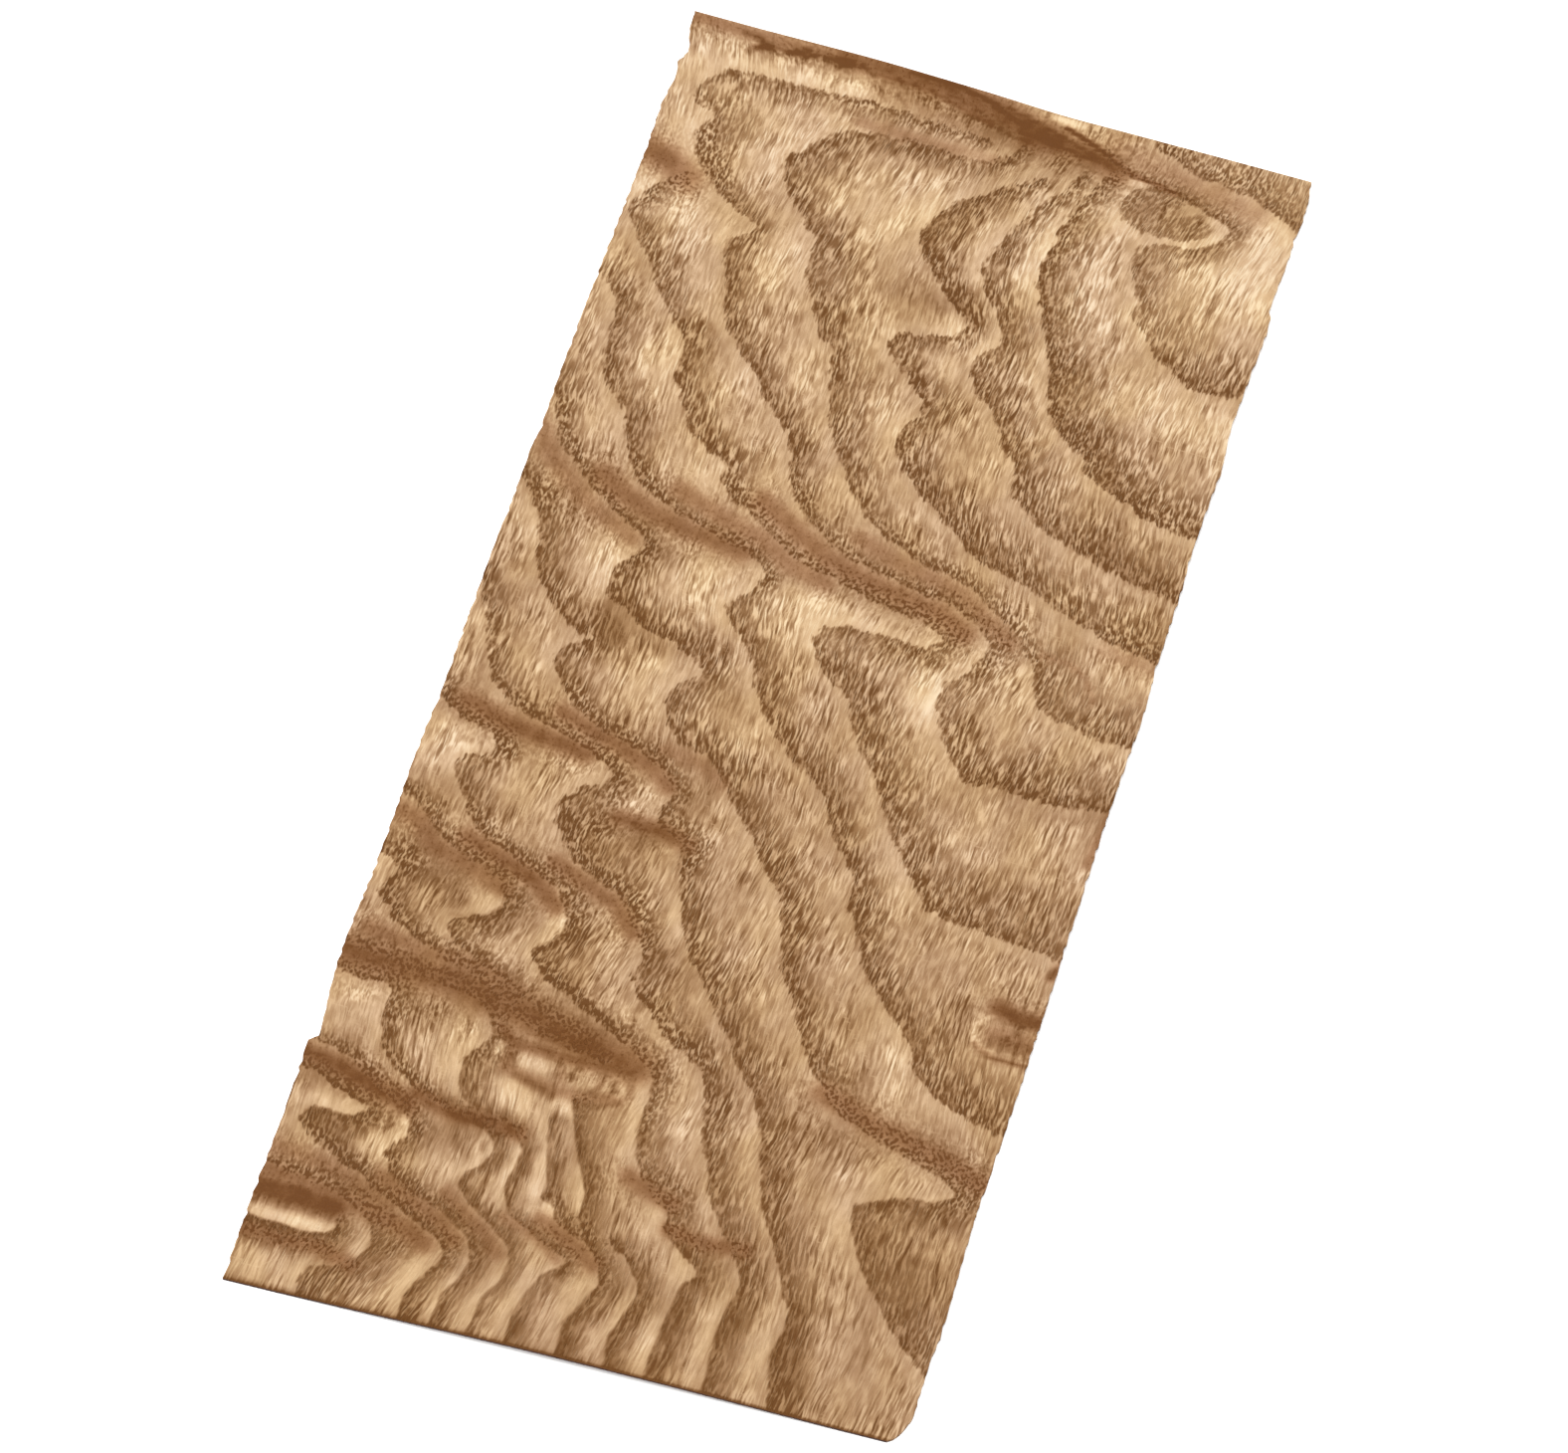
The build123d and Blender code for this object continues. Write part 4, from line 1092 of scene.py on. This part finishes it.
class Paint:
    """A material, and the way to add nodes to it."""

    def __init__(self, name):
        self.material = bpy.data.materials.new(name)
        self.material.use_nodes = True
        self.tree = self.material.node_tree
        self.tree.nodes.clear()

    def node(self, kind, settings, sockets):
        """A node with its settings, or a ramp's stops, made first and then its sockets joined."""
        made = self.tree.nodes.new("ShaderNode" + kind)
        for name, value in settings.items():
            if name == "stops":
                stops = made.color_ramp.elements
                while len(stops) < len(value):
                    stops.new(1.0)
                for stop, (position, colour) in zip(stops, value):
                    stop.position = position
                    stop.color = colour
            else:
                setattr(made, name, value)
        for name, value in sockets.items():
            if isinstance(value, Amount):
                value = value.socket
            if isinstance(value, bpy.types.NodeSocket):
                self.tree.links.new(value, made.inputs[name])
            else:
                made.inputs[name].default_value = value
        return made

    def finish(self, sockets):
        """The material's shader, with these sockets, as the surface that is seen."""
        shader = self.node("BsdfPrincipled", {}, sockets)
        self.node("OutputMaterial", {}, {"Surface": shader.outputs["BSDF"]})
        print(self.material.name, "has", len(self.tree.nodes), "nodes")


veneer = Paint("veneer")
print("nodes go into", veneer.material.name)

# %% Arithmetic on a number of the wood
class Amount:
    """One number of the wood, with arithmetic that adds Math nodes."""

    def __init__(self, socket):
        self.socket = socket

    def math(self, operation, first, second):
        made = veneer.node("Math", {"operation": operation}, {0: first, 1: second})
        return Amount(made.outputs["Value"])

    def __add__(self, other):
        return self.math("ADD", self, other)

    def __radd__(self, other):
        return self.math("ADD", other, self)

    def __sub__(self, other):
        return self.math("SUBTRACT", self, other)

    def __rsub__(self, other):
        return self.math("SUBTRACT", other, self)

    def __mul__(self, other):
        return self.math("MULTIPLY", self, other)

    def __rmul__(self, other):
        return self.math("MULTIPLY", other, self)

    def __truediv__(self, other):
        return self.math("DIVIDE", self, other)

    def __rtruediv__(self, other):
        return self.math("DIVIDE", other, self)

    def __neg__(self):
        return self * -1.0

    def at_least(self, other):
        return self.math("MAXIMUM", self, other)

    def at_most(self, other):
        return self.math("MINIMUM", self, other)

    def clipped(self):
        """Kept between 0 and 1."""
        return self.at_least(0.0).at_most(1.0)

    def ramp(self, low, high):
        """0 below low, 1 above high and smooth in between."""
        part = ((self - low) / (high - low)).clipped()
        return part * part * (3.0 - 2.0 * part)

    def swing(self, size, middle=0.5):
        """A share from 0 to 1, turned into a change of this size about its middle."""
        return (self - middle) * size

    def towards(self, other, share):
        """This number, turning into the other as the share goes from 0 to 1."""
        return self + (other - self) * share


print("an Amount understands", len(vars(Amount)), "things")

# %% Read the leaf's values
def value_of(name):
    """The value that the mesh keeps under this name."""
    return Amount(veneer.node("Attribute", {"attribute_name": name}, {}).outputs["Fac"])


past, if_passed, if_not = value_of("past_line"), value_of("early_if_passed"), value_of("early_if_not")
steepness, shortness = value_of("steep"), value_of("short_vessels")
pale_share, calm_share = value_of("pale"), value_of("calm").clipped()
mark, cut_end = value_of("small_mark"), value_of("cut_end")
across, along = value_of("fibre_across"), value_of("fibre_along")
print(len(veneer.tree.nodes), "nodes so far")

# %% [markdown]
# ## Colour of the wood
#
# The colours of this wood lie on one line, from dark brown to cream. So the material first works
# out one number for each point, its lightness, and then looks the colour up on that line. Mixing
# several browns with masks would take more nodes and drift off the line. Lightness is written as
# in a picture, from 0 to 255, and each colour is written as it looks on the leaf, in this light.

# %% Shades from dark to pale
WHITE_LEVEL = 255
LIGHT_ON_LEAF = 2.09
SHEEN_ON_LEAF = 0.014
DARKEST_WOOD = 0.002
wood_shades = [
    (50, (76, 42, 18)), (75, (106, 66, 34)), (93, (125, 85, 49)), (125, (157, 117, 80)),
    (147, (179, 139, 101)), (169, (200, 162, 122)), (195, (226, 189, 148)), (228, (253, 225, 186)),
]


def linear_light(level):
    """A picture's level, as an amount of light."""
    seen = level / WHITE_LEVEL
    return seen / 12.92 if seen <= 0.04045 else ((seen + 0.055) / 1.055) ** 2.4


def wood_colour(levels):
    """A colour as it looks on the lit leaf, turned into the wood's own colour."""
    own = [(linear_light(level) - SHEEN_ON_LEAF) / LIGHT_ON_LEAF for level in levels]
    return (*[max(channel, DARKEST_WOOD / LIGHT_ON_LEAF) for channel in own], 1.0)


def shade_of_wood(lightness):
    """The wood's colour for a lightness from 0 to 255."""
    stops = [(level / WHITE_LEVEL, wood_colour(levels)) for level, levels in wood_shades]
    return veneer.node("ValToRGB", {"stops": stops}, {"Fac": lightness * (1 / WHITE_LEVEL)}).outputs["Color"]


print(len(wood_shades), "shades of wood")

# %% [markdown]
# ## Vessels and streaks
#
# Vessels are about half a millimetre wide with gaps as wide between them, and a few millimetres
# long where the knife ran along them. They shorten beside the steep bands and are round dots inside
# them. The latewood is smooth in some places and thinly streaked in others. Each vessel could be a
# tiny mesh, but there are tens of thousands. Noise that is stretched along the fibres gives as many,
# and because fibre numbers are in millimetres, it can be given in spots per millimetre.

# %% Noise along the fibres
def grain(fibres, per_mm, seed, detail=1.0, roughness=0.5):
    """Smooth noise from 0 to 1, with so many spots per mm across the fibres and along them."""
    spot = veneer.node("CombineXYZ", {}, {"X": fibres * per_mm[0], "Y": along * per_mm[1], "Z": seed})
    noise = veneer.node(
        "TexNoise", {"noise_dimensions": "3D"},
        {"Vector": spot.outputs["Vector"], "Scale": 1.0, "Detail": detail, "Roughness": roughness},
    )
    return Amount(noise.outputs["Fac"])


# Streaks and vessels slant a little, and wander about their fibres
SLANT = 0.06
wander = grain(across, (0.2, 0.06), 3.7).swing(1.0)
ripple = grain(across, (0.5, 0.3), 5.3).swing(0.6)
fibre_x = across + wander + ripple - along * SLANT
print(len(veneer.tree.nodes), "nodes so far")

# %% Where each ring begins
# Each vessel begins a little above or below its neighbour, which breaks up the ring lines
EARLY_START = 0.7
start_shift = grain(fibre_x, (1.5, 0.4), 7.9).swing(3.2) * (1.0 - calm_share * 0.85)
wiggle = grain(across, (0.3, 0.22), 13.7, detail=1.5).swing(2.6) * (1.0 - calm_share * 0.6)
past_here = (past + EARLY_START + wiggle
             + start_shift * (1.0 - steepness * 0.6 - shortness * 0.2).clipped())
passed = past_here.ramp(-0.4, 0.4)
early_here = if_not.towards(if_passed, passed).at_least(0.0)

# The ring's first row of vessels, and the last dense latewood before them
first_row = passed * (1.0 - past_here.ramp(0.4, 2.0)) * if_passed
before_line = (-past).ramp(-0.5, 0.6) * (1.0 - (-past).ramp(2.5, 4.0))
print(len(veneer.tree.nodes), "nodes so far")

# %% Vessels, long or short
long_dash = grain(fibre_x, (2.1, 0.29), 11.0, detail=1.2)
mid_dash = grain(fibre_x, (2.0, 0.72), 23.0)
dots = grain(fibre_x, (1.6, 1.15), 31.0, detail=0.8)

half_short = (shortness + early_here * 0.25).ramp(0.06, 0.5)
all_short = shortness.ramp(0.45, 0.95)
vessels = long_dash.towards(mid_dash, half_short).towards(dots, all_short).ramp(0.38, 0.62)
print(len(veneer.tree.nodes), "nodes so far")

# %% Streaks, clouds and specks
fine_streaks = grain(fibre_x, (2.2, 0.13), 47.0, detail=1.6, roughness=0.6)
thin_lines = grain(fibre_x, (1.45, 0.085), 113.0, detail=1.2).ramp(0.36, 0.5)
broad_streaks = grain(fibre_x, (0.5, 0.08), 59.0, detail=2.0, roughness=0.55)
speckle = grain(across, (3.6, 2.6), 71.0, detail=1.5, roughness=0.6)
mottle = grain(across, (0.45, 0.3), 97.0, detail=2.0, roughness=0.6)
clouds = grain(across, (0.09, 0.07), 83.0, detail=2.0)
smooth_here = grain(across, (0.13, 0.09), 103.0).ramp(0.4, 0.62)
print(len(veneer.tree.nodes), "nodes so far")

# %% [markdown]
# ## Adding up the lightness
#
# Early and late wood each have their own level, and what lies in them makes them lighter or darker
# by so many levels. The steep bands replace both. The marks come last, so that a pale window stays
# pale whatever lies round it. The leaf grows a little darker from its head to its foot, and nothing
# but its cut ends, darkened partly as painted shade, is darker than the darkest vessel.

# %% Wood between the steep bands
LATEWOOD_LEVEL = 157.0
EARLYWOOD_LEVEL = 121.0

latewood = (LATEWOOD_LEVEL + pale_share * 30.0 + before_line * 9.0
            + broad_streaks.swing(42.0) + clouds.swing(36.0) + mottle.swing(36.0))
earlywood = EARLYWOOD_LEVEL + clouds.swing(40.0) + mottle.swing(34.0)
streaky = (1.0 - smooth_here * 0.6) * (1.0 - before_line * 0.5)
vessel_depth = (streaky * 58.0 + early_here * 44.0) * (1.0 - calm_share * 0.55)

body = latewood.towards(earlywood, early_here)
body = body - vessels.swing(vessel_depth)
body = body - fine_streaks.swing(56.0) * streaky * (1.0 - early_here * 0.7)
body = body + thin_lines.swing(46.0, middle=0.7) * streaky * (1.0 - early_here * 0.5)
body = body - speckle.swing(16.0) - first_row * 6.0
print(len(veneer.tree.nodes), "nodes so far")

# %% Steep bands, marks and cut ends
BAND_LEVEL = 112.0
DARKEST_LEVEL = 84.0
CUT_END_AND_SHADE_LEVEL = 48.0
DARKER_TOWARDS_FOOT_PER_MM = 0.055

# The bands' level is partly their own brown and partly painted shade of the cockle hollows that run along
# them
band = (BAND_LEVEL - (steepness - 1.0).at_least(0.0) * 50.0
        - dots.ramp(0.5, 0.63).swing(78.0, middle=0.2) * early_here)
band = band + mottle.swing(50.0) - speckle.swing(30.0) - dots.ramp(0.6, 0.72) * 26.0
body = body.towards(band, steepness.clipped())
# Lighter towards the head and darker towards the foot, by so many levels per mm along the leaf
body = (body + mark + along * DARKER_TOWARDS_FOOT_PER_MM).at_least(DARKEST_LEVEL)
# The cut ends go towards this level, partly for their darker end grain and partly as painted shade of the
# cut face and the shadow under it
lightness = body.towards(CUT_END_AND_SHADE_LEVEL, cut_end)
print(len(veneer.tree.nodes), "nodes so far")

# %% [markdown]
# ## The finish
#
# A single line of colours is a little too even: the real wood is greyer here and yellower there,
# and redder in the steep bands, so two faint tints multiply it. The leaf is bare wood, with no
# varnish, so it is matt. The open vessels are far too fine for the mesh and are a bump.

# %% Tint the wood and finish the leaf
GREYER, YELLOWER = (0.985, 1.0, 1.06, 1.0), (1.0, 1.005, 0.95, 1.0)
UNTINTED, REDDER = (1.0, 1.0, 1.0, 1.0), (1.045, 0.96, 0.96, 1.0)
BUMP_HEIGHT = 0.0003


def tinted(colour, share, first, second):
    """A colour multiplied by a tint, which goes from the first to the second with the share."""
    tint = veneer.node("Mix", {"data_type": "RGBA"},
                       {MIX_SHARE: share, MIX_FIRST: first, MIX_SECOND: second})
    mixed = veneer.node("Mix", {"data_type": "RGBA", "blend_type": "MULTIPLY"},
                        {MIX_SHARE: 1.0, MIX_FIRST: colour, MIX_SECOND: tint.outputs[MIXED]})
    return mixed.outputs[MIXED]


yellow_share = (grain(across, (0.07, 0.05), 131.0, detail=2.0, roughness=0.55)
                + pale_share * 0.06).ramp(0.34, 0.7)
colour = tinted(shade_of_wood(lightness), yellow_share, GREYER, YELLOWER)
colour = tinted(colour, steepness.clipped(), UNTINTED, REDDER)
relief = fine_streaks * -0.3 - vessels * (0.25 + early_here * 0.4)
bump = veneer.node("Bump", {}, {"Strength": 1.0, "Distance": BUMP_HEIGHT, "Height": relief})
veneer.finish({
    "Base Color": colour, "Roughness": 0.65, "Specular IOR Level": 0.1,
    "Normal": bump.outputs["Normal"],
})

leaf_mesh.materials.append(veneer.material)
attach(leaf, "root")
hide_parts("veneer_sheet")

# %% [markdown]
# ## Floor
#
# The leaf lies on a plain pale floor that the light burns out to white. It could be curved up behind
# the leaf, as in a studio, but the camera looks so far down that a flat one fills the view. The
# floor lies a hair under the leaf, so that no part of the leaf lies exactly in it.

# %% Lay the floor
FLOOR_REACH = 3.0
FLOOR_DROP = 0.00005
FLOOR_PALE = (0.97, 0.97, 0.97, 1)

floor_mesh = bpy.data.meshes.new("floor")
floor_mesh.from_pydata(
    [(x * FLOOR_REACH, y * FLOOR_REACH, -FLOOR_DROP) for x, y in ((-1, -1), (1, -1), (1, 1), (-1, 1))],
    [], [(0, 1, 2, 3)],
)
floor = bpy.data.objects.new("floor", floor_mesh)
bpy.context.collection.objects.link(floor)
floor_paint = Paint("floor_paint")
floor_paint.finish({"Base Color": FLOOR_PALE, "Roughness": 0.9, "Specular IOR Level": 0.0})
floor_mesh.materials.append(floor_paint.material)

# %% [markdown]
# ## Light
#
# A white sky gives most of the light, as in a light tent. A large soft light hangs almost straight
# above, so that the cockles shade the face only faintly. A harder or lower one would draw them as
# stripes.

# %% Light the leaf
SKY_STRENGTH = 1.35
KEY_LIGHT_SPOT = (-0.15, -0.1, 1.3)
KEY_LIGHT_SIZE = 0.8
KEY_LIGHT_POWER = 17

sky = bpy.data.worlds.new("studio")
sky.use_nodes = True
sky_light = sky.node_tree.nodes["Background"]
sky_light.inputs["Color"].default_value = (1, 1, 1, 1)
sky_light.inputs["Strength"].default_value = SKY_STRENGTH
bpy.context.scene.world = sky

lamp_data = bpy.data.lights.new("key_light", "AREA")
lamp_data.size = KEY_LIGHT_SIZE
lamp_data.energy = KEY_LIGHT_POWER
lamp = bpy.data.objects.new("key_light", lamp_data)
lamp.location = KEY_LIGHT_SPOT
lamp.rotation_euler = (-Vector(KEY_LIGHT_SPOT)).to_track_quat("-Z", "Y").to_euler()
bpy.context.collection.objects.link(lamp)
print("sky of strength", SKY_STRENGTH, "and a light of", KEY_LIGHT_POWER, "W")

# %% [markdown]
# ## Camera
#
# The camera looks down at sixty degrees from a little to the right, with a long lens from more than
# a metre away. Its place was fitted to the leaf's four corners, and a shorter lens nearer by would
# spread the near end too much.

# %% Place the camera
AZIMUTH = math.radians(15.135)
ELEVATION = math.radians(60.523)
ROLL = math.radians(1.804)
DISTANCE = 1.2783
AIM = Vector((-0.0003, -0.00683, 0.0004))
SENSOR_WIDTH = 36
LENS = 148.48

towards_camera = Vector((
    math.sin(AZIMUTH) * math.cos(ELEVATION),
    -math.cos(AZIMUTH) * math.cos(ELEVATION),
    math.sin(ELEVATION),
))
level_right = Vector((0, 0, 1)).cross(towards_camera).normalized()
upward = towards_camera.cross(level_right)
camera_right = math.cos(ROLL) * level_right + math.sin(ROLL) * upward
camera_up = -math.sin(ROLL) * level_right + math.cos(ROLL) * upward
camera_spot = AIM + DISTANCE * towards_camera

camera_data = bpy.data.cameras.new("camera")
camera_data.sensor_width = SENSOR_WIDTH
camera_data.lens = LENS
camera = bpy.data.objects.new("camera", camera_data)
camera.matrix_world = Matrix((
    (camera_right.x, camera_up.x, towards_camera.x, camera_spot.x),
    (camera_right.y, camera_up.y, towards_camera.y, camera_spot.y),
    (camera_right.z, camera_up.z, towards_camera.z, camera_spot.z),
    (0, 0, 0, 1),
))
bpy.context.collection.objects.link(camera)
bpy.context.scene.camera = camera
bpy.context.scene.view_settings.view_transform = "Standard"
print("camera at", [round(v, 3) for v in camera_spot])
